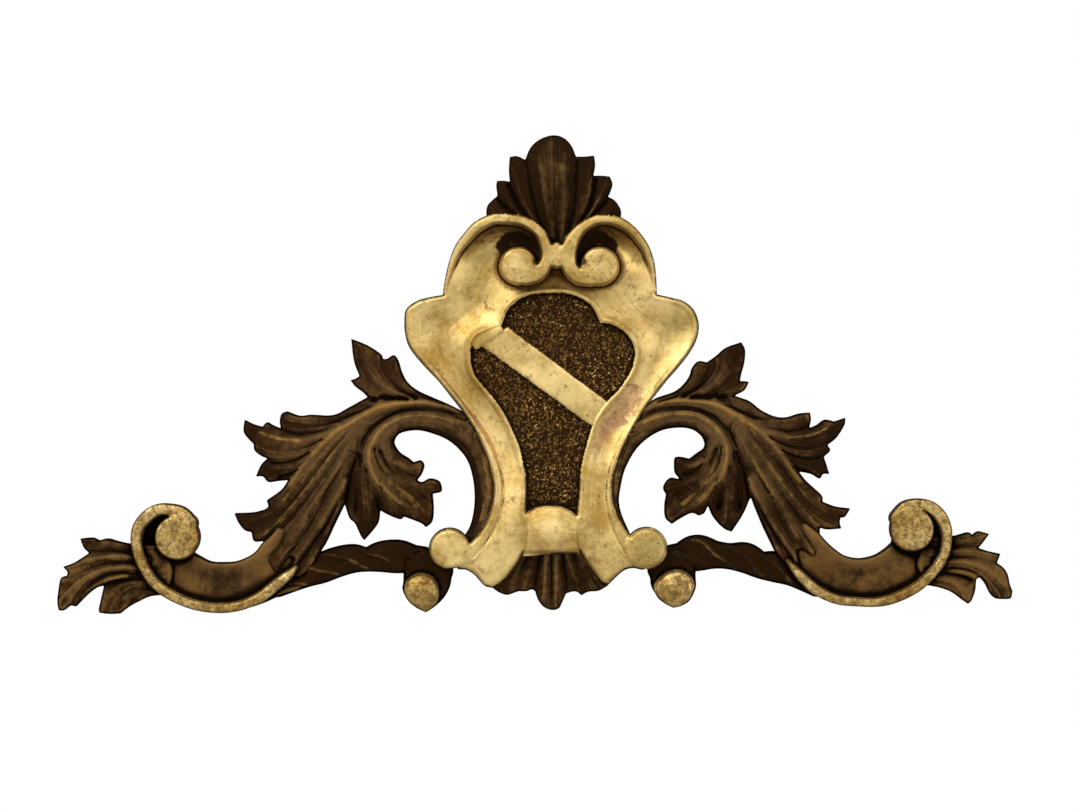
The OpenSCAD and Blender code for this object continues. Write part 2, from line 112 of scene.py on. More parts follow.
class Relief:
    # Carved surface over a grid: its height out of the back, and how far each point is inside.
    def __init__(self, low, high, step):
        self.step = step
        xs = np.arange(low[0] - 6 * step, high[0] + 6 * step, step)
        zs = np.arange(low[1] - 6 * step, high[1] + 6 * step, step)
        self.x, self.z = np.meshgrid(xs, zs)
        self.height = np.full(self.x.shape, outside)
        self.inside = np.full(self.x.shape, outside)
        self.lift = np.zeros(self.x.shape)
        self.marks = {name: np.zeros(self.x.shape)
                      for name in ("gilt", "tone", "tip", "scored", "worn", "pocketShade", "flow")}

    def cells(self, line):
        col = np.round((line[:, 0] - self.x[0, 0]) / self.step).astype(int)
        row = np.round((line[:, 1] - self.z[0, 0]) / self.step).astype(int)
        return row, col

    def window(self, line, reach):
        step = self.step
        c0 = max(0, int((line[:, 0].min() - reach - self.x[0, 0]) / step))
        c1 = int((line[:, 0].max() + reach - self.x[0, 0]) / step) + 2
        r0 = max(0, int((line[:, 1].min() - reach - self.z[0, 0]) / step))
        r1 = int((line[:, 1].max() + reach - self.z[0, 0]) / step) + 2
        return slice(r0, r1), slice(c0, c1)

    def lay(self, part, inside, height, **marks):
        # the higher surface wins, and is let in softly along its edge
        self.inside[part] = np.maximum(self.inside[part], inside)
        under = self.height[part]
        wins = (inside > 0) & (height > under)
        share = np.where(under > 0, np.clip(inside / self.step + 0.5, 0, 1), inside > 0)
        self.height[part] = np.where(height > under, under + (height - under) * share, under)
        for name, value in marks.items():
            field = self.lift if name == "lift" else self.marks[name]
            field[part] = np.where(wins, value, field[part])

    def band(self, stations, flutes=1, scoop=2.5, bow=0.0, twist=0.0):
        # one fillet or rail along a curve; a station is x, z, half width, height
        line = curve(stations)
        part = self.window(line, line[:, 2].max() + 3)
        x, z = self.x[part], self.z[part]
        steps = np.hypot(np.diff(line[:, 0]), np.diff(line[:, 1]))
        start = np.concatenate([[0], np.cumsum(steps)])
        inside = np.full(x.shape, -1e3)
        across, along, width, height = (np.zeros(x.shape) for _ in range(4))
        for i, length in enumerate(steps):
            if length < 1e-6:
                continue
            a, b = line[i], line[i + 1]
            dx, dz = (b[0] - a[0]) / length, (b[1] - a[1]) / length
            t = np.clip(((x - a[0]) * dx + (z - a[1]) * dz) / length, 0, 1)
            px, pz = a[0] + dx * length * t, a[1] + dz * length * t
            far = np.hypot(x - px, z - pz)
            w = np.maximum(a[2] + (b[2] - a[2]) * t, 0.4)
            more = w - far > inside
            inside = np.where(more, w - far, inside)
            side = np.sign(dx * (z - pz) - dz * (x - px))
            across = np.where(more, side * far / w, across)
            along = np.where(more, (start[i] + length * t) / start[-1], along)
            width = np.where(more, w, width)
            height = np.where(more, a[3] + (b[3] - a[3]) * t, height)
        phase = (across + 1) / 2 * flutes + twist * along
        share = phase - np.floor(phase)
        runOut = (1 - smoothStep(along, 0.85, 1)) * smoothStep(along, -0.15, 0.02)
        deep = scoop * np.clip(width / 9, 0, 1.3) * runOut
        return part, inside, height - deep * 4 * share * (1 - share) - bow * across ** 2

    def disc(self, centre, radius, height, dome=1.5):
        part = self.window(np.array([centre]), radius * 1.1 + 3)
        far = np.hypot(self.x[part] - centre[0], self.z[part] - centre[1])
        return part, radius - far, height - dome * (far / radius) ** 2

    def join(self, members, drop=5.0, lip=2.0, **marks):
        # shapes that run into each other, with one rounded edge round all of them
        inside = np.full(self.x.shape, outside)
        height = np.full(self.x.shape, outside)
        for part, near, top in members:
            inside[part] = np.maximum(inside[part], near)
            height[part] = np.where(near > -0.5, np.maximum(height[part], top), height[part])
        self.lay(everywhere, inside, self.rounded(inside, height, drop, lip), **marks)

    def rounded(self, inside, height, drop, lip):
        # the surface turns down towards its edge
        return height - drop * (1 - smoothStep(inside, -0.4, lip))

    def carve(self, region, lines, drop=4.0, lip=2.5, soft=0.8, lift=0.0, ripple=0.4, **marks):
        # a surface stretched over ridges and grooves, each drawn from one height to another
        # and a number to each line, so that streaks can follow them
        fixed, total, thread = (np.zeros(self.x.shape) for _ in range(3))
        for first, last, points in lines:
            line = curve([(*p, 0) for p in points], 0.5)
            row, col = self.cells(line)
            keep = (row >= 0) & (col >= 0) & (row < fixed.shape[0]) & (col < fixed.shape[1])
            np.add.at(fixed, (row[keep], col[keep]), 1)
            np.add.at(total, (row[keep], col[keep]), np.linspace(first, last, len(line))[keep])
            np.add.at(thread, (row[keep], col[keep]), rng.random())
        height = spread(fixed > 0, total / np.maximum(fixed, 1))
        height = blur(height, np.ones_like(height), soft / self.step)
        flow = spread(fixed > 0, thread / np.maximum(fixed, 1))
        flow = blur(flow, np.ones_like(flow), 1.2 / self.step)
        inside = self.depthIn(region)
        tip = 1 - smoothStep(height, 25, 36)  # the low ends of the leaves
        height = height + ripple * np.sin(2 * math.pi * 4 * flow)
        height = self.rounded(inside, height, drop, lip)
        marks = {"tip": tip, "lift": lift * tip, "tone": 0.0, "flow": flow, **marks}
        self.lay(everywhere, inside, height, **marks)

    def note(self, mark, points, width, depth=0.0):
        # marks a line for the finish, and may cut it in
        line = curve([(*p, 0) for p in points], 1.2)
        part = self.window(line, 12)
        far = np.full(self.x[part].shape, 1e9)
        for x, z, _ in line:
            far = np.minimum(far, (self.x[part] - x) ** 2 + (self.z[part] - z) ** 2)
        near = np.exp(-(np.sqrt(far) / width) ** 2)
        self.height[part] -= depth * near
        self.marks[mark][part] = np.maximum(self.marks[mark][part], near)

    def spots(self, places):
        # soft round patches, each x, z, reach
        return sum(np.exp(-((self.x - x) ** 2 + (self.z - z) ** 2) / reach ** 2) for x, z, reach in places)

    def cutBy(self, distance):
        self.inside = np.minimum(self.inside, distance)

    def depthIn(self, line):
        # signed distance from a closed line, positive within it
        x, z = self.x, self.z
        ends = np.roll(line, -1, 0)
        far = np.full(x.shape, 1e9)
        for a, b in zip(line, ends):
            d = b - a
            size = d @ d
            if size < 1e-9:
                continue
            t = np.clip(((x - a[0]) * d[0] + (z - a[1]) * d[1]) / size, 0, 1)
            far = np.minimum(far, (x - a[0] - d[0] * t) ** 2 + (z - a[1] - d[1] * t) ** 2)
        within = np.zeros(x.shape, bool)
        for a, b in zip(line, ends):
            if a[1] != b[1]:
                rows = (a[1] > z[:, 0]) != (b[1] > z[:, 0])
                cross = a[0] + (z[rows, 0] - a[1]) / (b[1] - a[1]) * (b[0] - a[0])
                within[rows] ^= x[rows] < cross[:, None]
        return np.sqrt(far) * np.where(within, 1, -1)


def spread(fixed, value):
    # fills between the fixed points, from coarse to fine
    rows, cols = fixed.shape
    if min(rows, cols) > 16:
        pad = ((0, rows % 2), (0, cols % 2))
        weight = np.pad(fixed.astype(float), pad)
        total = np.pad(value * fixed, pad)
        weight, total = (f[::2, ::2] + f[1::2, ::2] + f[::2, 1::2] + f[1::2, 1::2] for f in (weight, total))
        coarse = spread(weight > 0, total / np.maximum(weight, 1))
        guess = coarse.repeat(2, 0).repeat(2, 1)[:rows, :cols]
    else:
        guess = np.full(fixed.shape, value[fixed].mean())
    field = np.where(fixed, value, guess)
    for _ in range(110):
        wide = np.pad(field, 1, mode="edge")
        mean = (wide[:-2, 1:-1] + wide[2:, 1:-1] + wide[1:-1, :-2] + wide[1:-1, 2:]) / 4
        field = np.where(fixed, value, mean)
    return field


def averageOfCorners(field, weight):
    total = field * weight
    total = total[:-1, :-1] + total[:-1, 1:] + total[1:, 1:] + total[1:, :-1]
    count = weight[:-1, :-1] + weight[:-1, 1:] + weight[1:, 1:] + weight[1:, :-1]
    return total / np.maximum(count, 1e-9)


def crossings(relief, within):
    # the middle of a cell, or where the outline crosses it
    inside, x, z = relief.inside, relief.x, relief.z
    corners = [(slice(None, -1), slice(None, -1)), (slice(None, -1), slice(1, None)),
               (slice(1, None), slice(1, None)), (slice(1, None), slice(None, -1))]
    sumX, sumZ, count = (np.zeros((x.shape[0] - 1, x.shape[1] - 1)) for _ in range(3))
    for a, b in zip(corners, corners[1:] + corners[:1]):
        cut = within[a] != within[b]
        t = np.where(cut, inside[a] / np.where(cut, inside[a] - inside[b], 1), 0)
        t = np.clip(t, 0.04, 0.96)
        sumX += np.where(cut, x[a] + (x[b] - x[a]) * t, 0)
        sumZ += np.where(cut, z[a] + (z[b] - z[a]) * t, 0)
        count += cut
    middleX = x[:-1, :-1] + relief.step / 2
    middleZ = z[:-1, :-1] + relief.step / 2
    mixed = count > 0
    safe = np.maximum(count, 1)
    return np.where(mixed, sumX / safe, middleX), np.where(mixed, sumZ / safe, middleZ)


def footprint(relief):
    # the grid points that carry carving, with no two parts of it touching at a corner alone
    relief.inside[[0, -1], :] = -1
    relief.inside[:, [0, -1]] = -1
    within = relief.inside > 0
    for _ in range(4):
        a, b, c, d = within[:-1, :-1], within[:-1, 1:], within[1:, 1:], within[1:, :-1]
        rows, cols = np.nonzero((a & c & ~b & ~d) | (b & d & ~a & ~c))
        for dr, dc in ((0, 0), (1, 0), (0, 1), (1, 1)):
            within[rows + dr, cols + dc] = True
        relief.inside = np.where(within & (relief.inside <= 0), 0.02, relief.inside)
    return within


def rimOf(within, rows, cols, number):
    # the edges of the front that the sides hang from
    sides = []
    for dr, dc, first, second in ((0, 1, (-1, 0), (0, 0)), (0, -1, (0, -1), (-1, -1)),
                                  (1, 0, (0, 0), (0, -1)), (-1, 0, (-1, -1), (-1, 0))):
        edge = ~within[rows + dr, cols + dc]
        r, c = rows[edge], cols[edge]
        sides.append(np.stack([number[r + first[0], c + first[1]], number[r + second[0], c + second[1]]], 1))
    return np.vstack(sides)


def backSheet(flat, edges, relief, within):
    # triangles between the back's rim and the points within it
    found = geometry.delaunay_2d_cdt([Vector(p) for p in flat.tolist()], edges, [], 1, 1e-6)
    origin = [o[0] if o else -1 for o in found[3]]
    faces = []
    for face in found[2]:
        corner = [origin[i] for i in face]
        if min(corner) < 0:
            continue
        row, col = relief.cells(flat[corner].mean(0)[None])
        r, c = row[0], col[0]
        if within[max(r - 1, 0):r + 2, max(c - 1, 0):c + 2].any():
            faces.append(corner[::-1])
    return faces


def sharpen(mesh, sides):
    mesh.set_sharp_from_angle(angle=math.radians(62))
    pair = [len(mesh.vertices), 1]
    ends = np.zeros(2 * len(mesh.edges), int)
    mesh.edges.foreach_get("vertices", ends)
    onRim = np.isin(np.sort(ends.reshape(-1, 2), 1) @ pair, np.sort(sides, 1) @ pair)
    sharp = np.zeros(len(mesh.edges), bool)
    mesh.attributes["sharp_edge"].data.foreach_get("value", sharp)
    mesh.attributes["sharp_edge"].data.foreach_set("value", sharp | onRim)


def stand(name, data):
    thing = bpy.data.objects.new(name, data)
    bpy.context.scene.collection.objects.link(thing)
    return thing


def solid(name, relief, place, marks):
    # A closed mesh: the carved front, straight sides and a plain back.
    lowest, thinnest, backSpacing = 8, 6, 9  # in millimetres
    within = footprint(relief)
    weight = within.astype(float)
    full = np.ones_like(weight)
    carved = within & (relief.height > lowest)
    relief.height = np.where(carved, relief.height, blur(relief.height, carved, 2 / relief.step))
    px, pz = crossings(relief, within)
    front = averageOfCorners(relief.height, weight)
    rimmed = averageOfCorners(weight, full) < 0.99
    even = averageOfCorners(blur(relief.height, weight, 1.4 / relief.step) * weight, weight)
    front = np.clip(np.where(rimmed, even, front), lowest, place.depth - 0.1)
    back = averageOfCorners(blur(relief.lift, weight, 4 / relief.step) * weight, weight)
    back = np.clip(back, 0, front - thinnest)
    used = averageOfCorners(weight, full) > 0
    number = np.full(used.shape, -1)
    number[used] = np.arange(used.sum())
    points = place.points(px[used], front[used], pz[used])
    total = len(points)

    rows, cols = np.nonzero(within)
    quads = np.stack([number[rows - 1, cols - 1], number[rows - 1, cols],
                      number[rows, cols], number[rows, cols - 1]], 1)
    sides = rimOf(within, rows, cols, number)
    rim = np.unique(sides)
    backOf = np.full(total, -1)
    backOf[rim] = total + np.arange(len(rim))
    walls = np.stack([sides[:, 0], backOf[sides[:, 0]], backOf[sides[:, 1]], sides[:, 1]], 1)

    # the back is spanned between its rim and a few points within
    spacing = int(backSpacing / relief.step)
    some = np.zeros(used.shape, bool)
    some[::spacing, ::spacing] = True
    some &= used & (averageOfCorners(relief.inside, full) > 4)
    flat = np.concatenate([np.stack([px[used][rim], pz[used][rim]], 1), np.stack([px[some], pz[some]], 1)])
    behind = np.vstack([place.points(px[used][rim], back[used][rim], pz[used][rim]),
                        place.points(px[some], back[some], pz[some])])
    backFaces = backSheet(flat, (backOf[sides] - total).tolist(), relief, within)

    mesh = bpy.data.meshes.new(name)
    mesh.from_pydata(np.vstack([points, behind]).tolist(), [],
                     quads.tolist() + walls.tolist() + [[total + i for i in face] for face in backFaces])
    mesh.polygons.foreach_set("use_smooth", np.ones(len(mesh.polygons), bool))
    for mark, field in {**marks, "side": np.zeros_like(weight)}.items():
        values = averageOfCorners(field, weight)[used]
        rest = np.concatenate([values[rim] * 0.5, np.zeros(some.sum())]) + (mark == "side")
        made = mesh.attributes.new(mark, "FLOAT", "POINT")
        made.data.foreach_set("value", np.concatenate([values, rest]).astype(np.float32))
    mesh.update()
    sharpen(mesh, sides)
    print(name, "has", len(mesh.polygons), "faces")
    return stand(name, mesh)


def carvedMarks(relief, close=1.6, deep=5):
    # what the finish needs to know: hollows, creases and edges, which it darkens as painted shade, the
    # height, which lightens a painted sheen, and what was noted on each stroke
    within = (relief.inside > 0).astype(float)
    height = np.where(within > 0, relief.height, 0)
    step = relief.step
    near, wide = blur(height, within, close / step), blur(height, within, 6 / step)
    marks = {
        "hollow": np.clip((wide - height) / deep, -1, 1),
        "crease": np.clip((near - height) / 0.9, -1, 1),
        "edge": 1 - smoothStep(relief.inside, 0, 3),
        "level": height / 60,
    }
    for name, field in relief.marks.items():
        marks[name] = blur(field, within, 0.5 / step)
    return marks


class Socket:
    # a node's output that can be reckoned with
    def __init__(self, paint, source):
        self.paint = paint
        self.source = source

    def reckon(self, operation, first, second):
        return self.paint.node("Math", {"operation": operation}, {0: first, 1: second})

    def __add__(self, other):
        return self.reckon("ADD", self, other)

    def __radd__(self, other):
        return self.reckon("ADD", other, self)

    def __sub__(self, other):
        return self.reckon("SUBTRACT", self, other)

    def __rsub__(self, other):
        return self.reckon("SUBTRACT", other, self)

    def __mul__(self, other):
        return self.reckon("MULTIPLY", self, other)

    def __rmul__(self, other):
        return self.reckon("MULTIPLY", other, self)

    def within(self, low, high):
        # 0 below low, 1 above high
        return self.paint.node("MapRange", {"interpolation_type": "SMOOTHSTEP"},
                               {"Value": self, "From Min": low, "From Max": high}, take="Result")


class Paint:
    # the nodes of a material or of the world
    def __init__(self, holder):
        self.holder = holder
        holder.use_nodes = True
        self.tree = holder.node_tree
        self.tree.nodes.clear()

    def node(self, kind, settings=None, inputs=None, take=0):
        made = self.tree.nodes.new("ShaderNode" + kind)
        for key, value in (settings or {}).items():
            setattr(made, key, value)
        for key, value in (inputs or {}).items():
            if isinstance(value, Socket):
                self.tree.links.new(value.source, made.inputs[key])
            else:
                made.inputs[key].default_value = value
        return Socket(self, made.outputs[take]) if made.outputs else None

    def mark(self, name):
        return self.node("Attribute", {"attribute_name": name}, take="Fac")

    def noise(self, scale, detail=3.0, rough=0.55):
        return self.node("TexNoise", None, {"Vector": self.place, "Scale": scale, "Detail": detail,
                                            "Roughness": rough})

    def streaks(self, close, detail=3.0):
        # noise drawn out along the carving
        return self.node("TexNoise", {"noise_dimensions": "4D"}, {
            "Vector": self.place, "W": self.mark("flow") * close, "Scale": 14, "Detail": detail,
            "Roughness": 0.6})

    def seams(self, scale, width):
        far = self.node("TexVoronoi", {"feature": "DISTANCE_TO_EDGE"}, {"Vector": self.place, "Scale": scale},
                        take="Distance")
        return 1 - far.within(0, width)

    def bump(self, strength, distance, height):
        return self.node("Bump", None, {"Strength": strength, "Distance": distance, "Height": height},
                         take="Normal")

    def blend(self, factor, first, second):
        first, second = (c if isinstance(c, Socket) else (*c, 1) for c in (first, second))
        return self.node("Mix", {"data_type": "RGBA"}, {0: factor, 6: first, 7: second}, take=2)

    def finish(self, values):
        self.node("OutputMaterial", None, {"Surface": self.node("BsdfPrincipled", None, values)})
        return self.holder


def newPaint(name):
    paint = Paint(bpy.data.materials.new(name))
    paint.place = paint.node("TexCoord", take="Object")
    return paint


# shade is the colour of painted shade, and pale also serves the painted highlights
gildingLook = {
    "shade": (0.16, 0.080, 0.014), "gold": (0.36, 0.22, 0.050), "pale": (0.80, 0.595, 0.245),
    "olive": (0.20, 0.155, 0.032), "grimeAndShade": (0.035, 0.015, 0.005), "bole": (0.36, 0.15, 0.09),
    "rust": (0.13, 0.055, 0.013), "gloss": {"Specular IOR Level": 0.1, "Specular Tint": (1, 0.8, 0.5, 1)},
}


def goldColour(paint, grimeAndShade, rub):
    # leaf laid over the red ground: cloudy, paler in places and where highlights are painted, dull olive in
    # patches and where shade is painted under the scrolls, brown with painted shade in the hollows
    look = gildingLook
    broad = paint.noise(8, 2)
    middling = paint.noise(30, 4, 0.6)
    fine = paint.noise(150, 4, 0.7)
    streak = paint.streaks(1.2)
    # paler in random clouds, and where a highlight is painted at the listed spots
    level = (broad * 0.38 + middling * 0.32 + fine * 0.15 + streak * 0.15
             + paint.mark("paintedHighlight") * 0.08).within(0.40, 0.60)
    colour = paint.blend(level, look["gold"], look["pale"])
    # dull olive in random patches and at the listed spots, partly painted shade in the dish under the scrolls
    dullAndShaded = (paint.noise(11, 3).within(0.55, 0.70) * 0.45 + paint.mark("dullAndShaded") * 0.6).within(0, 1.2)
    colour = paint.blend(dullAndShaded, colour, look["olive"])
    smudge = paint.noise(58, 7, 0.78).within(0.50, 0.68) * 0.65
    hairs = paint.seams(55, 0.04) * paint.noise(24, 3).within(0.52, 0.66) * 0.3
    laps = paint.seams(13, 0.016) * broad.within(0.45, 0.6) * 0.3
    # painted shade in the hollows over random mottling, then real smudges, leaf laps and hairline cracks
    shade = paint.mark("hollow") * 0.85 + (middling - 0.5) * 1.3 + (fine - 0.5) * 0.6 + (streak - 0.5) * 0.8
    shadeAndSmudges = (shade.within(0.02, 0.8) * 0.85 + smudge + laps + hairs).within(0, 1.1)
    colour = paint.blend(shadeAndSmudges, colour, look["shade"])
    colour = paint.blend(rub * 0.65, colour, look["bole"])
    return paint.blend(grimeAndShade, colour, look["grimeAndShade"])


sideLook = {
    "dirtAndShade": (0.020, 0.011, 0.005), "timber": (0.060, 0.035, 0.017), "paleTimber": (0.13, 0.082, 0.044),
}


def sided(paint, colour):
    # the sides are painted dark, as dirt and as shade, and the back is bare timber
    look = sideLook
    side = paint.mark("side").within(0.02, 0.3)
    bare = paint.blend(paint.noise(45, 5, 0.7), look["timber"], look["paleTimber"])
    dirtyAndShaded = paint.blend(paint.mark("side").within(0.86, 0.99), look["dirtAndShade"], bare)
    return side, paint.blend(side, colour, dirtyAndShaded)


def gilding():
    paint = newPaint("burnished_gilding")
    crease, hollow, edge = paint.mark("crease"), paint.mark("hollow"), paint.mark("edge")
    dust = paint.noise(120, 5, 0.65)
    scored = paint.mark("scored") * paint.noise(40, 3).within(0.35, 0.6)
    # painted shade in creases and along the outline, with scored lines and random dust
    grimeAndShade = (crease * 1.1 + edge * 0.4 + scored * 0.3 + (dust - 0.5) * 1.6).within(0.28, 0.95)
    pits = paint.noise(420, 2).within(0.62, 0.70) * paint.mark("speck")
    flecks = paint.noise(230, 3, 0.7).within(0.64, 0.71)
    rub = (paint.mark("rub") + scored * 0.25 + (paint.noise(60, 6, 0.75) - 0.5) * 2.0
           + (dust - 0.5) * 1.4).within(0.5, 1.35)
    # painted shade in the pockets under the scrolls and in the hollows, with random dust
    pocketShade = (paint.mark("pocketShade") * 1.3 + hollow * 0.3 + (dust - 0.5) * 0.8).within(0.55, 1.15)
    # pits and flecks of dirt, with painted shade from the creases, outline, pockets and hollows
    dirtAndShade = (grimeAndShade * 0.9 + pits * 0.8 + flecks * 0.6 + pocketShade + hollow.within(0.6, 1.0) * 0.25).within(0, 1)
    side, colour = sided(paint, goldColour(paint, dirtAndShade, rub))
    rough = (0.37 + paint.noise(28, 4) * 0.18 + dirtAndShade * 0.3 + rub * 0.2) * (1 - side) + side
    bumps = (paint.noise(17, 2) * 4 + paint.noise(70, 4) + paint.noise(600, 2) * 0.25
             + paint.streaks(2) * 0.3)
    return paint.finish({**gildingLook["gloss"], "Base Color": colour, "Roughness": rough,
                         "Metallic": (0.8 - 0.7 * dirtAndShade - 0.4 * rub) * (1 - side),
                         "Normal": paint.bump(0.5, 0.0009, bumps)})


# the sheen colour is a painted sheen
carvingLook = {
    "wood": (0.020, 0.0085, 0.0025), "sheen": (0.134, 0.073, 0.027), "ochre": (0.31, 0.168, 0.042),
    "red": (0.045, 0.015, 0.005), "black": (0.003, 0.0013, 0.0005), "rust": (0.14, 0.068, 0.020),
    "nick": (0.45, 0.36, 0.2), "gloss": {"Specular IOR Level": 0.03, "Specular Tint": (1, 0.7, 0.4, 1)},
}


def darkCarving():
    # dark stained wood with a painted sheen and painted shade, worn to ochre on its ridges, with gilded
    # fillets and balls
    paint = newPaint("dark_gilt_carving")
    look = carvingLook
    crease, hollow, edge = paint.mark("crease"), paint.mark("hollow"), paint.mark("edge")
    tone = paint.mark("tone")
    dust = paint.noise(110, 5, 0.7)
    broad = paint.noise(13, 4, 0.6)
    streak = paint.streaks(1.5)
    # painted sheen, stronger on the higher parts and weaker in the hollows, over random tone
    level = (broad * 0.5 + streak * 0.5 + (dust - 0.5) * 0.4 - hollow * 0.3 - tone * 0.12
             + (paint.mark("level") - 0.57) * 0.8).within(0.36, 0.66)
    colour = paint.blend(level, look["wood"], look["sheen"])
    colour = paint.blend(paint.mark("tip") * broad.within(0.45, 0.65) * 0.45, colour, look["red"])
    rust = (0 - tone).within(0.1, 1.8) * (paint.noise(26, 5, 0.65) + (dust - 0.5) * 0.4).within(0.44, 0.66)
    colour = paint.blend(rust * 0.7, colour, look["rust"])
    ridge = ((streak - 0.5) * 1.8 + (dust - 0.5) * 1.2 + (broad - 0.5) * 1.2
             - hollow - crease * 0.4 - edge * 0.8 - tone * 0.3).within(0.25, 1.15)
    colour = paint.blend(ridge * 0.5, colour, look["ochre"])
    worn = (paint.mark("worn") * 0.8 - hollow * 0.4 - edge + (dust - 0.5) * 1.6 + (streak - 0.5) * 1.4
            + (broad - 0.5) * 0.8).within(0.4, 1.2)
    colour = paint.blend(worn * 0.8, colour, look["ochre"])
    # painted shade: near black in creases, hollows and along the edges
    deep = (crease * 1.2 + hollow * 0.9 + edge * 0.7 + (dust - 0.5) * 0.8
            - (streak - 0.5) * 0.8).within(0.18, 0.8)
    colour = paint.blend(deep * 0.96, colour, look["black"])
    nicks = paint.noise(330, 2).within(0.69, 0.75) * (ridge + 0.35)
    colour = paint.blend((nicks * 0.8).within(0, 1.2), colour, look["nick"])

    laid = (paint.mark("gilt") + (paint.noise(170, 4, 0.7) - 0.5) * 0.9).within(0.35, 0.62)
    pits = paint.noise(240, 5, 0.75).within(0.46, 0.60) * 0.6
    # painted shade in the creases and along the edges of the gilt, with dust and pits
    dirtAndShade = ((crease * 1.2 + edge * 0.45 + (dust - 0.5) * 1.7).within(0.15, 0.9) * 0.9 + pits).within(0, 1.1)
    aged = paint.blend(paint.noise(130, 5, 0.7).within(0.42, 0.62) * 0.7, goldColour(paint, dirtAndShade, 0),
                       gildingLook["rust"])
    side, colour = sided(paint, paint.blend(laid, colour, aged))
    rough = (0.40 + dust * 0.16 - ridge * 0.08 + deep * 0.2 - laid * 0.04) * (1 - side) + side
    metal = (laid * (1 - dirtAndShade) * 0.7 + worn * 0.2 * (1 - laid)) * (1 - side)
    bumps = paint.noise(60, 5) * 0.7 + paint.noise(420, 2) * 0.35 + streak * 1.3
    return paint.finish({**look["gloss"], "Base Color": colour, "Roughness": rough, "Metallic": metal,
                         "Normal": paint.bump(0.8, 0.0014, bumps)})


sand = {
    "low": (-92, 104), "high": (92, 354), "step": 0.7, "floor": 24.5, "lift": 1.5,
    "grains": 13000, "x": (-90, 90), "z": (106, 352), "radius": (0.55, 1.25),
    "ground": (0.026, 0.011, 0.004), "grain": (0.14, 0.070, 0.018), "gold": (0.64, 0.41, 0.125),
    "shade": (0.006, 0.003, 0.001),
}


def sandedGround():
    paint = newPaint("sanded_ground")
    shade = paint.mark("shade")
    dust = paint.noise(240, 3)
    cloud = paint.noise(20, 3)
    colour = paint.blend(paint.mark("grain").within(0.15, 1.0), sand["ground"], sand["grain"])
    bright = (paint.mark("glint") * 0.9 + (dust - 0.5) * 0.5 + (cloud - 0.5) * 0.5).within(0.38, 0.86)
    colour = paint.blend(bright, colour, sand["gold"])
    colour = paint.blend(shade * 0.92, colour, sand["shade"])
    side, colour = sided(paint, colour)
    return paint.finish({**carvingLook["gloss"], "Base Color": colour, "Roughness": 0.6 - bright * 0.25,
                         "Metallic": bright * 0.55 * (1 - shade) * (1 - side)})


def groundOfSand(place):
    relief = Relief(sand["low"], sand["high"], sand["step"])
    shield = relief.depthIn(outline(cartouche["lines"]["shield"])) + 2
    grain, glint = np.zeros(shield.shape), np.zeros(shield.shape)
    count, start = sand["grains"], sand["z"][0]
    gx = rng.uniform(*sand["x"], count)
    gz = rng.uniform(*sand["z"], count)
    size = rng.uniform(*sand["radius"], count)
    shine = rng.random(count) ** (0.55 + (gz - start) / 350)  # the grains are brighter towards the bottom
    row, col = relief.cells(np.stack([gx, gz], 1))
    for dr in range(-2, 3):
        for dc in range(-2, 3):
            r, c = row + dr, col + dc
            far = np.hypot(relief.x[r, c] - gx, relief.z[r, c] - gz)
            dome = np.sqrt(np.clip(size ** 2 - far ** 2, 0, None))
            higher = dome > grain[r, c]
            glint[r[higher], c[higher]] = shine[higher] * dome[higher] / size[higher]
            np.maximum.at(grain, (r, c), dome)
    relief.lay(everywhere, shield, sand["floor"] + grain * 1.3, lift=sand["lift"])
    marks = {"grain": grain, "glint": glint, "shade": 1 - smoothStep(shield, 2.2, 6.5)}
    return solid("sanded_ground", relief, place, marks)


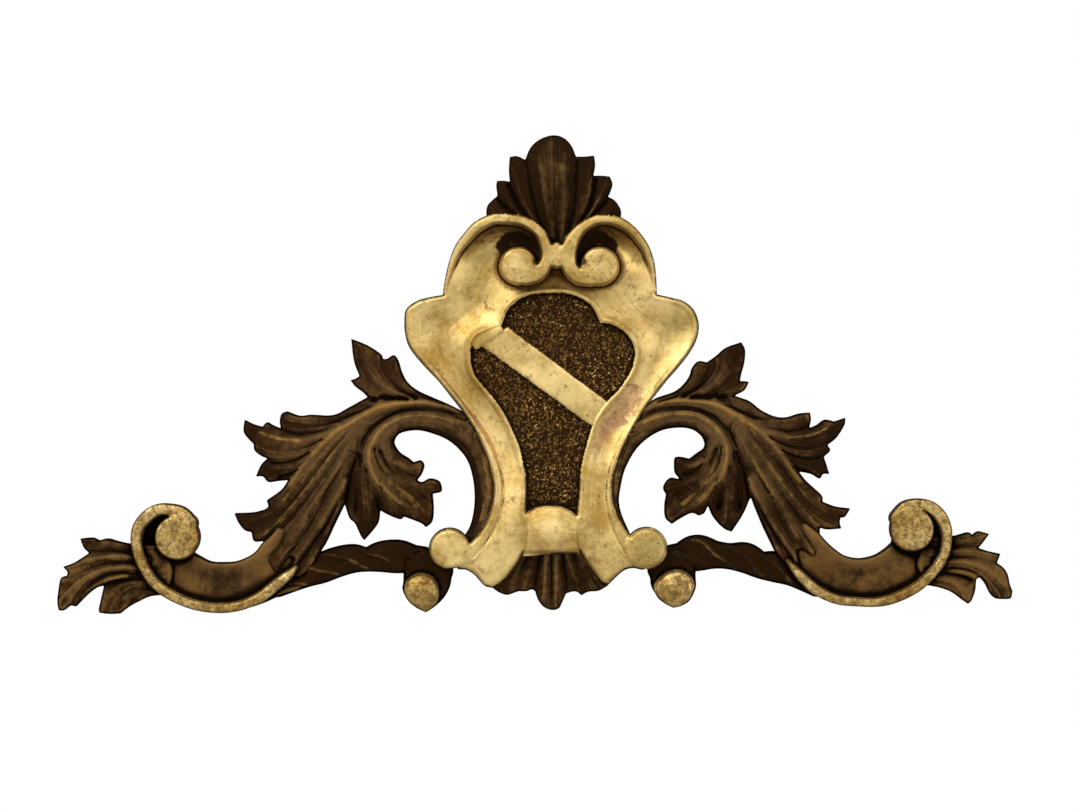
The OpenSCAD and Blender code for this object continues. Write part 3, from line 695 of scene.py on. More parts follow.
cartouche = {
    "low": (-168, 26), "high": (165, 440), "step": 0.95,
    "lines": {
        "outer": [
            [(5, 400), (-1, 410), (-7, 418), (-18, 428), (-31, 436), (-49, 438), (-62, 438), (-73, 435),
             (-86, 425), (-99, 414), (-109, 398), (-117, 371)],
            [(-120, 350), (-137, 347), (-150, 343), (-161, 334), (-163, 320), (-162, 306), (-157, 291),
             (-142, 272), (-126, 255), (-112, 237), (-98, 219), (-86, 202), (-77, 185), (-70, 168),
             (-67, 150), (-66, 132), (-70, 114), (-76, 99), (-88, 80)],
            [(-97, 70), (-107, 50), (-96, 47), (-87, 41), (-77, 30)],
            [(-68, 27), (-58, 33), (-48, 43), (-39, 55)], [(-33, 66), (-3, 65)],
            [(27, 68), (34, 57), (43, 44), (52, 33)], [(60, 30), (69, 39), (78, 46), (87, 48), (100, 48)],
            [(88, 74), (76, 90), (68, 106), (64, 128), (66, 152), (74, 176), (88, 202), (104, 228),
             (121, 249), (136, 266), (149, 282), (158, 298), (161, 315), (156, 331), (145, 341),
             (132, 345)],
            [(115, 349), (114, 371), (110, 392), (103, 407), (92, 420), (79, 430), (64, 436), (50, 436),
             (35, 430), (22, 420), (11, 407)]],
        "shield": [
            [(-56, 314), (-53, 323), (-49, 332), (-40, 341), (-27, 348), (-5, 351), (17, 350), (31, 345),
             (42, 337), (48, 327)],
            [(52, 318), (64, 316), (77, 309), (87, 297), (90, 284), (87, 268), (79, 254), (70, 242),
             (60, 232), (50, 219), (43, 205), (38, 190), (33, 172), (29, 151), (28, 132)],
            [(25, 107), (19, 112), (8, 117), (-4, 118), (-17, 117)],
            [(-30, 110), (-30, 147), (-33, 165), (-37, 182), (-43, 197), (-51, 214), (-62, 232),
             (-77, 250), (-86, 262), (-90, 278), (-89, 293), (-82, 304), (-68, 310)]],
        "bend": [[(-98, 301)], [(-49, 314)], [(66, 227)], [(44, 203)], [(-75, 291)]],
        "bendEnd": [[(-98, 304)], [(-62, 325)], [(-53, 309)], [(-84, 289)]],
        "keystone": [
            [(-34, 62), (-31, 90)], [(-29, 112), (-17, 117), (-4, 118), (8, 117), (19, 111)],
            [(25, 108), (27, 88)], [(29, 64), (-3, 64)]],
    },
    # fillets, as x, z, half width and height along each
    "leftScroll": [
        (-118.5, 352, 2, 34), (-114, 371, 3, 38), (-108.5, 388, 4, 44), (-101.5, 402, 5, 49),
        (-93, 412.5, 5.5, 53), (-81, 424.5, 6, 57), (-64, 432.5, 5.6, 60), (-49, 432.5, 5.6, 60),
        (-34, 430.5, 5.6, 60), (-22.5, 425, 5.6, 60), (-12.5, 416, 6, 60), (-7, 403, 6.8, 60),
        (-6, 391.5, 6.6, 59), (-9, 380, 8, 59), (-17, 372, 9, 58), (-28, 367.5, 8, 58)],
    "rightScroll": [
        (113, 353, 2, 34), (111, 371, 3, 38), (108, 385, 4, 44), (101, 402, 4.6, 49), (88, 418.5, 5, 53),
        (74, 428, 5.5, 57), (62, 431, 5, 60), (50, 431, 5.3, 60), (37, 425, 5.6, 60), (27, 416, 6.8, 60),
        (19.5, 402.5, 9, 60), (18, 390, 9, 59), (20, 378, 9, 59), (29, 369, 9, 58), (42, 367, 9, 58)],
    "saddle": [(5, 394, 12, 58.3), (5, 389, 11, 58.6)],
    "leftFillet": [
        (-134, 272, 2, 33.5), (-119, 253, 2.8, 34), (-104, 234, 3.5, 34.5), (-90, 214, 4.3, 35.5),
        (-77, 193, 5, 37), (-68, 173, 5.6, 38), (-62.5, 152, 6, 39), (-60.5, 132, 6, 40),
        (-64, 112, 6, 40), (-70.5, 95, 6.5, 40), (-80, 79, 8, 40), (-92, 65, 11, 40), (-105, 63, 12, 40)],
    "rightFillet": [
        (134, 268, 2, 33), (116, 246, 2.4, 33.5), (100, 226, 2.8, 34), (84, 201, 3.2, 35),
        (71, 176, 3.6, 36), (62, 150, 4, 37), (60.5, 126, 4.5, 38), (64, 106, 6, 38.5), (72, 88, 8, 39),
        (82, 70, 12, 39), (94, 62, 13, 39)],
    # the grooves inside the two fillets, and the pockets under the scrolls that get painted shade
    "scores": [
        [(-134, 279), (-118, 257), (-101, 234), (-87, 213), (-74, 192), (-63, 170), (-56.5, 150),
         (-54.5, 132), (-58, 112), (-65, 93), (-76, 76), (-88, 61)],
        [(112, 246), (96, 222), (81, 198), (68, 173), (60, 150), (57.5, 128), (60, 107), (66, 89),
         (74, 72), (82, 60)]],
    "pockets": [
        [(-56, 404), (-48, 413), (-36, 412), (-26, 404), (-20, 394), (-18, 386)],
        [(66, 404), (56, 413), (45, 411), (37, 402), (33, 392), (34, 385)]],
    # centre, radius and height
    "discs": {
        "leftEye": ((-37, 381), 21, 59.5), "rightEye": ((52, 380), 21.5, 59.5),
        "leftButton": ((-115, 71), 22.5, 43), "rightButton": ((102, 70), 23, 42),
    },
    "tops": {"bend": 34, "bendEnd": 33, "keystone": 47},
    "legs": (215, 95),  # the border turns into the legs between these heights above the base line
    "under": (366, 414, 13),  # and dips under the scrolls from the first to the second, this deep
    # height across the border from its outer edge to the shield, beside the shield and down the legs
    "share": [0, 0.05, 0.12, 0.3, 0.5, 0.7, 0.86, 0.95, 1.0],
    "dish": [32, 34, 32.5, 27, 24.5, 27, 32.5, 36, 35.5],
    "leg": [33, 36, 37.5, 40, 42, 43, 43, 42, 41],
    # where the leaf is rubbed through to the red ground, where it is dull olive, in places as painted shade,
    # and where a painted highlight makes it paler: x, z, reach
    "rubbed": [
        (90, 240, 17), (79, 222, 15), (66, 206, 14), (53, 192, 13), (47, 178, 9), (8, 74, 9), (-16, 72, 8),
        (-108, 244, 8), (-96, 226, 8), (-84, 208, 8), (-72, 190, 7), (-64, 172, 6)],
    "dullAndShaded": [
        (102, 70, 24), (-54, 352, 15), (60, 345, 14), (-88, 392, 16), (92, 388, 14), (138, 312, 22)],
    "paintedHighlight": [(-37, 381, 20), (-20, 258, 26), (-4, 96, 16), (76, 130, 18), (10, 392, 14)],
}


def borderHeight(relief, outer, shield):
    # the dished border and the two legs
    (legTop, legFoot), (low, high, dip) = cartouche["legs"], cartouche["under"]
    outward, inward = np.clip(outer, 0, None), np.clip(-shield, 0, None)
    share = outward / np.maximum(outward + inward, 1e-6)
    legs = smoothStep(-relief.z, -legTop, -legFoot)
    dish = np.interp(share, cartouche["share"], cartouche["dish"])
    leg = np.interp(share, cartouche["share"], cartouche["leg"])
    height = dish + (leg - dish) * legs
    border = (outer > -2) & (shield < 2)
    broad = blur(height, border.astype(float), 7 / relief.step)
    height = height + (broad - height) * smoothStep(outer, 3, 12) * smoothStep(-shield, 3, 12)
    height = height - smoothStep(relief.z, low, high) * smoothStep(share, 0.0, 0.3) * dip
    edge = 5 * (1 - smoothStep(outer, -0.4, 3.5)) + 3 * (1 - smoothStep(-shield, -0.4, 2.6))
    return share, height - edge


def cartoucheGilding(place):
    relief = Relief(cartouche["low"], cartouche["high"], cartouche["step"])
    depth = {name: relief.depthIn(outline(stretches)) for name, stretches in cartouche["lines"].items()}
    outer, shield = depth["outer"], depth["shield"]
    share, height = borderHeight(relief, outer, shield)
    relief.lay(everywhere, np.minimum(outer, -shield), height, gilt=1.0, tone=0.0)

    tops = cartouche["tops"]
    bend = np.minimum(depth["bend"], shield + 3)
    relief.lay(everywhere, bend, relief.rounded(bend, tops["bend"], 3, 2.4), gilt=1.0)
    end = np.minimum(depth["bendEnd"], shield + 2)
    slope = (relief.x + 92) * 0.1 + tops["bendEnd"]
    relief.lay(everywhere, end, relief.rounded(end, slope, 3, 1.4), gilt=1.0)
    key = depth["keystone"]
    dome = tops["keystone"] - 3.5 * ((relief.x + 2) / 30) ** 2 - 5 * ((relief.z - 88) / 26) ** 2
    low = np.minimum(key, (relief.z - 65.5) * 0.9)
    relief.lay(everywhere, key, relief.rounded(low, dome, 5, 2.5), gilt=1.0)

    groups = [(("leftScroll", "rightScroll", "saddle"), ("leftEye", "rightEye"), 6, 1.8),
              (("leftFillet",), ("leftButton",), 5, 3.5), (("rightFillet",), ("rightButton",), 4, 4.5)]
    for fillets, discs, drop, lip in groups:
        members = [relief.band(cartouche[name], scoop=0, bow=1.0) for name in fillets]
        members += [relief.disc(*cartouche["discs"][name]) for name in discs]
        relief.join(members, drop=drop, lip=lip, gilt=1.0, tone=0.0)
    carved = (relief.inside > 0).astype(float)
    relief.height = relief.height + (blur(relief.height, carved, 0.7 / relief.step) - relief.height) * carved

    relief.marks["flow"] = share * 1.6
    for line in cartouche["scores"]:
        relief.note("scored", line, 1.1, depth=1.5)
    # painted shade along the pockets under the scrolls
    for line in cartouche["pockets"]:
        relief.note("pocketShade", line, 8)
    marks = carvedMarks(relief, close=1.0, deep=8)
    marks["rub"] = relief.spots(cartouche["rubbed"])
    marks["dullAndShaded"] = relief.spots(cartouche["dullAndShaded"])
    marks["paintedHighlight"] = relief.spots(cartouche["paintedHighlight"])
    marks["speck"] = sum(1 - smoothStep(np.hypot(relief.x - x, relief.z - z), r - 4, r + 1)
                         for (x, z), r, _ in cartouche["discs"].values())
    return solid("cartouche_gilding", relief, place, marks)


# A leaf's ridges and grooves: first height, last height, and the line from its root outward.
crown = {
    "low": (-76, 396), "high": (80, 528), "lift": 7, "tone": 1.6, "root": (4, 372),
    "region": [
        [(0, 409), (-12, 414), (-22, 425), (-34, 430), (-49, 432), (-62, 432)],
        [(-72, 436), (-72, 443), (-70, 449)], [(-63, 456), (-60, 459), (-61, 469)],
        [(-60, 475), (-52, 475)], [(-46, 474), (-47, 486)], [(-46, 501), (-38, 502)],
        [(-29, 498), (-23, 511), (-13, 520), (1, 524.5), (13, 522), (22, 513)], [(27, 501), (36, 501)],
        [(47, 502), (48, 491)], [(46, 480), (55, 480)], [(64, 479), (67, 471), (65, 463)],
        [(62, 457), (70, 452), (76, 442)],
        [(76, 434), (62, 431), (50, 431), (37, 425), (27, 416), (16, 408), (5, 402)]],
    "lines": [
        (41, 44, [(2, 404), (-2, 430), (-8, 460), (-10, 490)]),
        (41, 44, [(10, 404), (12, 430), (14, 460), (12, 490)]), (37, 42, [(6, 404), (5, 425), (3, 452)]),
        (36, 31, [(-8, 417), (-17, 440), (-23, 465), (-28, 497)]),
        (36, 31, [(18, 417), (24, 440), (27, 465), (28, 498)]),
        (40, 33, [(-13, 419), (-28, 443), (-38, 466), (-42, 499)]),
        (40, 33, [(23, 419), (36, 443), (43, 466), (44, 499)]),
        (35, 25, [(-20, 424), (-36, 446), (-48, 472)]), (35, 25, [(28, 424), (42, 446), (48, 478)]),
        (39, 31, [(-26, 428), (-44, 447), (-58, 470)]), (39, 31, [(33, 428), (50, 449), (62, 474)]),
        (33, 25, [(-34, 430), (-50, 445), (-61, 456)]), (33, 25, [(40, 430), (54, 445), (64, 458)]),
        (37, 30, [(-44, 432), (-58, 442), (-70, 448)]), (37, 30, [(48, 431), (62, 441), (74, 444)]),
        (34, 28, [(-56, 434), (-72, 437)]), (34, 28, [(58, 432), (74, 436)]),
        (42, 37, [(0, 498), (0, 512), (0, 524)]),
        (36, 34, [(-24, 508), (-14, 518), (0, 523), (14, 519), (24, 508)])],
}

foot = {
    "low": (-70, 0), "high": (62, 78), "lift": 3, "tone": -0.6, "root": (-3, 112),
    "region": [
        [(-68, 27), (-61, 22), (-52, 19), (-45, 21)], [(-39, 23), (-30, 23), (-25, 25)],
        [(-21, 23), (-18, 14), (-12, 6), (-3, 2.2), (5, 4), (9, 11)], [(13, 20), (19, 22), (25, 22)],
        [(30, 18), (38, 22), (49, 23)], [(60, 29), (52, 50)], [(40, 74)], [(-45, 74), (-58, 50)]],
    "lines": [
        (31, 27, [(-8, 74), (-9, 50), (-10, 30), (-9, 14)]),
        (31, 27, [(3, 74), (3, 50), (3, 30), (2, 14)]), (27, 24, [(-3, 74), (-3, 50), (-3, 26), (-4, 5)]),
        (26, 20, [(-13, 74), (-17, 50), (-20, 36), (-21, 24)]),
        (26, 20, [(8, 74), (11, 50), (13, 36), (13, 22)]),
        (30, 22, [(-19, 74), (-26, 50), (-31, 36), (-34, 25)]),
        (30, 22, [(13, 74), (19, 50), (24, 36), (28, 22)]),
        (26, 20, [(-24, 74), (-33, 50), (-38, 36), (-40, 24)]),
        (26, 20, [(18, 74), (26, 50), (31, 34), (32, 20)]),
        (29, 21, [(-30, 74), (-40, 50), (-47, 34), (-52, 21)]),
        (29, 21, [(25, 74), (34, 50), (42, 36), (49, 25)]), (25, 20, [(-40, 70), (-52, 45), (-60, 28)]),
        (25, 20, [(33, 70), (45, 48), (55, 32)])],
}


def leafPiece(name, leaf, place):
    relief = Relief(leaf["low"], leaf["high"], 0.8)
    x, z = leaf["root"]
    flow = 2.5 * np.arctan2(relief.x - x, np.abs(relief.z - z))
    relief.carve(outline(leaf["region"]), leaf["lines"], lift=leaf["lift"], soft=1.1, ripple=0, flow=flow,
                 tone=leaf["tone"])
    return solid(name, relief, place, carvedMarks(relief))


# what both wings share, drawn for the left one and as distances outward
bothWings = {
    "step": 0.95, "waist": 62,
    # an edge drops over its lip, tips lift off the back, and a tone above 0 is darker
    "cuts": {
        "body": {"drop": 5, "soft": 2.5, "ripple": 0, "flow": 0.0, "tone": -2.0},
        "rail": {"drop": 5, "lip": 4.5, "tone": 0.7},
        "drum": {"drop": 6, "lip": 5, "tone": 0.9},
        "endLeaf": {"lift": 6, "tone": -1.2},
        "leaf": {"lift": 8, "drop": 5, "lip": 3},
        "volute": {"drop": 6, "lip": 1.6, "gilt": 1.0, "tone": 0.0},
    },
    "rope": {"flutes": 1.5, "scoop": 3, "twist": 5, "bow": 3},
    "drumLine": [(27, 27, [(128, 60), (140, 40), (140, 20)])],
    "ball": {"top": 43, "radius": 24, "dome": 7}, "gap": 0.12,
    "leaf": {
        "limb": [
            (27, 35, [(91, 84), (82, 100), (78, 118), (77, 140), (81, 163), (90, 184), (104, 199)]),
            (31, 34, [(86, 80), (75, 100), (71, 122), (71, 146), (75, 168), (84, 190)]),
            (35, 41, [(104, 199), (122, 207), (146, 211), (166, 209), (180, 201), (185, 194)]),
            (22, 33, [(97, 90), (91, 100), (87.5, 114), (87, 132), (89, 150), (94, 167), (103, 180),
             (116, 191), (132, 198), (149, 201.5), (164, 199)])],
        "innerRidge": [
            (36, 45, [(92, 203), (104, 209), (122, 215), (145, 218), (165, 216), (180, 209), (193, 198),
             (200, 185), (203, 172)]),
            (45, 22, [(203, 172), (200, 157), (192, 144), (180, 131), (168, 121), (155, 112), (146, 102),
             (141, 96)])],
        "groove": [
            (34, 38, [(96, 212), (116, 222), (140, 225), (162, 224), (180, 218), (196, 207), (207, 193),
             (214, 177)]), (36, 22, [(214, 177), (221, 158), (226, 140), (229, 122)])],
        "outerRidge": [
            (38, 46, [(104, 221), (124, 229), (143, 232), (160, 232), (178, 230), (194, 226), (210, 218)]),
            (46, 36, [(210, 218), (226, 208), (240, 199), (253, 188), (266, 174), (280, 156), (290, 142)])],
        "bigLeaf": [
            (42, 22, [(228, 202), (244, 186), (262, 166), (279, 146), (296, 127), (311, 115), (330, 107),
             (350, 109)]),
            (41, 26, [(230, 194), (241, 183), (257, 164), (275, 141), (293, 120), (308, 107), (322, 99)]),
            (43, 27, [(221, 200), (238, 181), (256, 157), (275, 133), (292, 113), (307, 97), (320, 86),
             (329, 82)]),
            (41, 27, [(225, 188), (237, 172), (254, 148), (271, 125), (287, 105), (300, 91), (312, 80)]),
            (42, 30, [(218, 190), (234, 168), (249, 145), (265, 121), (280, 99), (293, 80), (304, 60)]),
            (38, 31, [(229, 168), (242, 149), (256, 128), (270, 106)]),
            (41, 32, [(233, 165), (246, 145), (260, 122), (274, 100), (287, 80)]),
            (38, 27, [(225, 172), (238, 148), (253, 123), (267, 100), (280, 80), (292, 64), (303, 50)]),
            (37, 29, [(228, 146), (240, 122), (253, 100), (268, 80), (283, 60), (292, 46)]),
            (31, 26, [(231, 133), (242, 112), (254, 92), (268, 72), (280, 56)]),
            (33, 28, [(235, 124), (245, 103), (255, 84), (262, 68)])],
        "upperLobes": [
            (38, 27, [(196, 229), (218, 220), (240, 212), (262, 210), (282, 212), (296, 215)]),
            (39, 24, [(236, 208), (252, 202), (274, 198), (292, 200), (300, 204)]),
            (42, 22, [(242, 200), (258, 195), (280, 191), (303, 193), (323, 200), (338, 209)]),
            (38, 23, [(253, 192), (265, 185), (282, 180), (303, 179), (322, 184), (335, 192)]),
            (40, 25, [(258, 187), (271, 179), (290, 174), (312, 175), (328, 181)]),
            (35, 24, [(268, 178), (283, 170), (302, 166), (316, 169)]),
            (36, 22, [(272, 171), (285, 162), (304, 159), (325, 154)]),
            (33, 22, [(281, 160), (290, 154), (303, 149)])],
        "upwardLeaf": [
            (36, 28, [(120, 229), (144, 238), (160, 248), (170, 264), (176, 280)]),
            (31, 25, [(150, 236), (168, 246), (180, 260), (187, 276)]),
            (36, 22, [(150, 234), (172, 243), (188, 254), (200, 270), (211, 286), (221, 301)]),
            (33, 23, [(172, 238), (192, 247), (206, 260), (214, 278)]),
            (33, 23, [(185, 234), (203, 241), (214, 249), (222, 256)]),
            (29, 27, [(160, 235), (180, 237), (200, 236)])],
        "hangingLeaf": [
            (37, 21, [(211, 176), (211, 148), (209, 124), (208, 98), (209, 82)]),
            (33, 20, [(217, 160), (217, 132), (218, 112)]),
            (36, 24, [(206, 160), (204, 138), (201, 116), (200, 98)]),
            (32, 19, [(197, 138), (194, 124), (192, 113)])],
        "innerLeaf": [
            (39, 26, [(194, 160), (187, 145), (176, 134), (162, 124), (150, 116)]),
            (39, 25, [(196, 182), (193, 166), (184, 150), (172, 138), (160, 128), (150, 118), (140, 108)]),
            (38, 24, [(189, 166), (180, 152), (168, 142), (154, 134), (142, 126)]),
            (36, 24, [(190, 180), (184, 164), (172, 152), (158, 143), (142, 138), (126, 138)]),
            (35, 23, [(192, 146), (184, 128), (174, 114), (166, 106)])],
        "curl": [
            (33, 25, [(178, 170), (170, 160), (160, 153), (150, 149)]),
            (40, 27, [(187, 186), (184, 176), (175, 166), (162, 160), (148, 161)]),
            (34, 24, [(177, 190), (172, 179), (163, 171), (152, 167)])],
    },
    "endLeaf": [
        (27, 19, [(455, 72), (476, 75), (498, 78), (520, 84)]),
        (24, 20, [(458, 66), (484, 69), (505, 69), (516, 69)]),
        (30, 20, [(446, 60), (468, 64), (492, 64), (516, 59), (538, 52)]),
        (25, 20, [(448, 54), (474, 58), (498, 57), (520, 50), (536, 43)]),
        (31, 20, [(444, 50), (470, 53), (494, 51), (516, 42), (532, 28), (543, 10)]),
        (26, 20, [(446, 44), (474, 46), (496, 42), (512, 31), (527, 12)]),
        (29, 21, [(470, 42), (492, 38), (506, 32), (520, 20)]),
        (24, 18, [(446, 40), (472, 40), (489, 36), (496, 31)]),
        (29, 18, [(440, 34), (462, 34), (479, 27), (488, 14), (492, 2)]),
        (24, 18, [(444, 28), (462, 25), (474, 16), (480, 5)]), (27, 19, [(438, 26), (452, 22), (466, 12)])],
    # ridges where the gilding shows through, and how far to each side
    "worn": [
        (3.5, [(104, 209), (122, 215), (145, 218), (165, 216), (180, 209), (193, 198), (200, 185),
         (203, 172), (200, 157), (192, 144), (180, 131), (168, 121)]),
        (3.5, [(124, 229), (143, 232), (160, 232), (178, 230), (194, 226), (210, 218), (226, 208),
         (240, 199), (253, 188), (266, 174)]),
        (4, [(196, 182), (193, 166), (184, 150), (172, 138), (160, 128), (150, 118)]),
        (3, [(231, 140), (228, 130), (232, 122)]),
        (2.5, [(228, 202), (244, 186), (262, 166), (279, 146), (296, 127)]),
        (2.5, [(238, 181), (256, 157), (275, 133), (292, 113), (307, 97), (325, 83)]),
        (2.5, [(233, 165), (246, 145), (260, 122)]), (2.5, [(280, 191), (303, 193), (323, 200)]),
        (6, [(74, 168), (71, 146), (72, 122), (78, 104)])],
}

leftWing = {
    "side": -1, "reach": 485,
    "leaf": [
        [(70, 84), (52, 100), (52, 150), (66, 186), (84, 216)],
        [(100, 222), (116, 230), (132, 237), (149, 245), (160, 254), (166, 265), (170, 278), (175, 284)],
        [(182, 280), (187, 280), (189, 285), (204, 295)], [(222, 302.5), (219, 278)],
        [(213, 261), (218, 258)], [(223, 257), (218, 250), (209, 243)],
        [(204, 238), (215, 232), (226, 226), (237, 220), (248, 218), (266, 219), (279, 218)],
        [(293, 223), (299, 220), (301, 212)], [(300, 204), (309, 208), (315, 211)],
        [(320, 206), (330, 209)], [(340, 214), (341, 201), (336, 193)],
        [(330, 187), (329, 180), (322, 174)], [(315, 171), (322, 164)],
        [(328, 151), (320, 151), (314, 145), (303, 146)], [(292, 147), (299, 137), (310, 129)],
        [(316, 125), (315, 117), (330, 112)], [(352, 111), (347, 100), (340, 92)], [(333, 90), (330, 80)],
        [(320, 80), (317, 66), (312, 52)], [(305, 43), (297, 54), (290, 62)], [(286, 60), (292, 50)],
        [(296, 42), (280, 40), (266, 52)], [(257, 68), (250, 79), (240, 100)],
        [(230, 120), (225, 105), (219, 99), (213, 86)], [(209, 80), (200, 90), (193, 100)],
        [(191, 113), (182, 108), (169, 103)], [(165, 106), (154, 102), (145, 98)],
        [(141, 94), (134, 100), (132, 113)],
        [(133, 131), (124, 133), (123, 138), (126, 145), (136, 148), (145, 144)],
        [(150, 146), (145, 153), (142, 162), (146, 168)],
        [(154, 166), (160, 171), (169, 177), (175, 187), (172, 195), (165, 199), (149, 201), (132, 197),
         (116, 190), (103, 179), (94, 166), (89, 149), (87, 131), (88, 113), (92, 96)],
        [(99, 84), (88, 74)]],
    "endLeaf": [
        [(430, 76), (465, 78), (480, 81), (491, 84)], [(501, 82), (508, 85)], [(522, 84), (518, 74)],
        [(512, 68), (528, 58)], [(541, 53), (536, 47)], [(537, 43), (543, 41), (545.5, 32), (547.5, 15)],
        [(546, 5), (540, 5), (533, 10)], [(527, 9), (513, 23), (503, 30)],
        [(496, 32), (499, 19), (502, 6)], [(501, 2), (490, 0.6)],
        [(478, 1), (469, 8), (458, 14), (444, 20)], [(425, 22), (420, 50)]],
    "body": [
        [(304, 96), (312, 86), (321, 78), (328, 69), (337, 63), (350, 58), (363, 57), (378, 58),
         (390, 64)],
        [(400, 70), (404, 100), (420, 112), (436, 114), (450, 106), (459, 90), (462, 74), (458, 57),
         (450, 43), (440, 30), (428, 22), (413, 14), (400, 9), (383, 5), (367, 3), (350, 4), (332, 8),
         (317, 13), (299, 21), (280, 27), (262, 40), (262, 70), (280, 92)]],
    "bodyLines": [
        (33, 30, [(304, 92), (318, 76), (334, 62), (362, 55), (392, 62), (400, 68)]),
        (28, 22, [(290, 80), (308, 62), (330, 48), (362, 42), (388, 44), (404, 50)]),
        (26, 20, [(290, 60), (306, 42), (330, 30), (360, 24), (388, 27), (410, 37), (424, 50)]),
        (27, 16, [(296, 42), (312, 30), (336, 19), (362, 15), (388, 17), (406, 23), (424, 34), (440, 52),
         (448, 70), (449, 88), (444, 100)]),
        (17, 14, [(424, 64), (434, 72), (441, 84), (441, 96), (436, 104)]),
        (24, 22, [(300, 24), (284, 32), (270, 50), (266, 66)])],
    "band": [
        (284, 51, 2, 38), (291, 44, 4.5, 40), (300, 37, 5.6, 41), (311, 28, 6, 41), (323, 19, 6, 41),
        (338, 12, 5.5, 41), (350, 8.7, 5.5, 41), (366, 7, 5.5, 41), (386, 8.7, 5.5, 41),
        (405, 14, 5.5, 41), (425, 24, 5.8, 41), (440, 36, 5.8, 41), (450, 51, 5.8, 41), (457, 68, 6, 41),
        (459, 84, 6.2, 41), (456, 97, 6.5, 42), (447, 108, 7, 42), (436, 115, 6.5, 43),
        (424, 115.5, 6.5, 43), (411, 110, 9, 44), (401, 100, 9.5, 45)],
    "eye": ((414, 85), 24.5, 46),
    "rail": [
        (304, 28, 10, 26), (276, 44, 16, 28), (256, 50, 17, 28), (240, 56, 17, 28), (222, 60, 16, 28),
        (206, 59, 13.5, 28), (190, 62, 17, 29), (172, 62, 18.5, 29), (156, 60, 15, 28), (142, 55, 17, 27),
        (128, 46, 17, 26)],
    "drum": [
        [(166, 58), (166, 36), (167, 26), (161, 14), (152, 6)],
        [(141, 0.6), (130, 8), (121, 17), (115, 28), (113, 40), (115, 52)], [(124, 66), (146, 70)]],
    "ball": [
        [(165, 26), (162, 36), (154, 42.5), (143, 44), (133, 39), (128, 30), (127, 20), (130, 11)],
        [(141, 1), (152, 7), (161, 15)]],
    "ballMiddle": (145, 25),
}

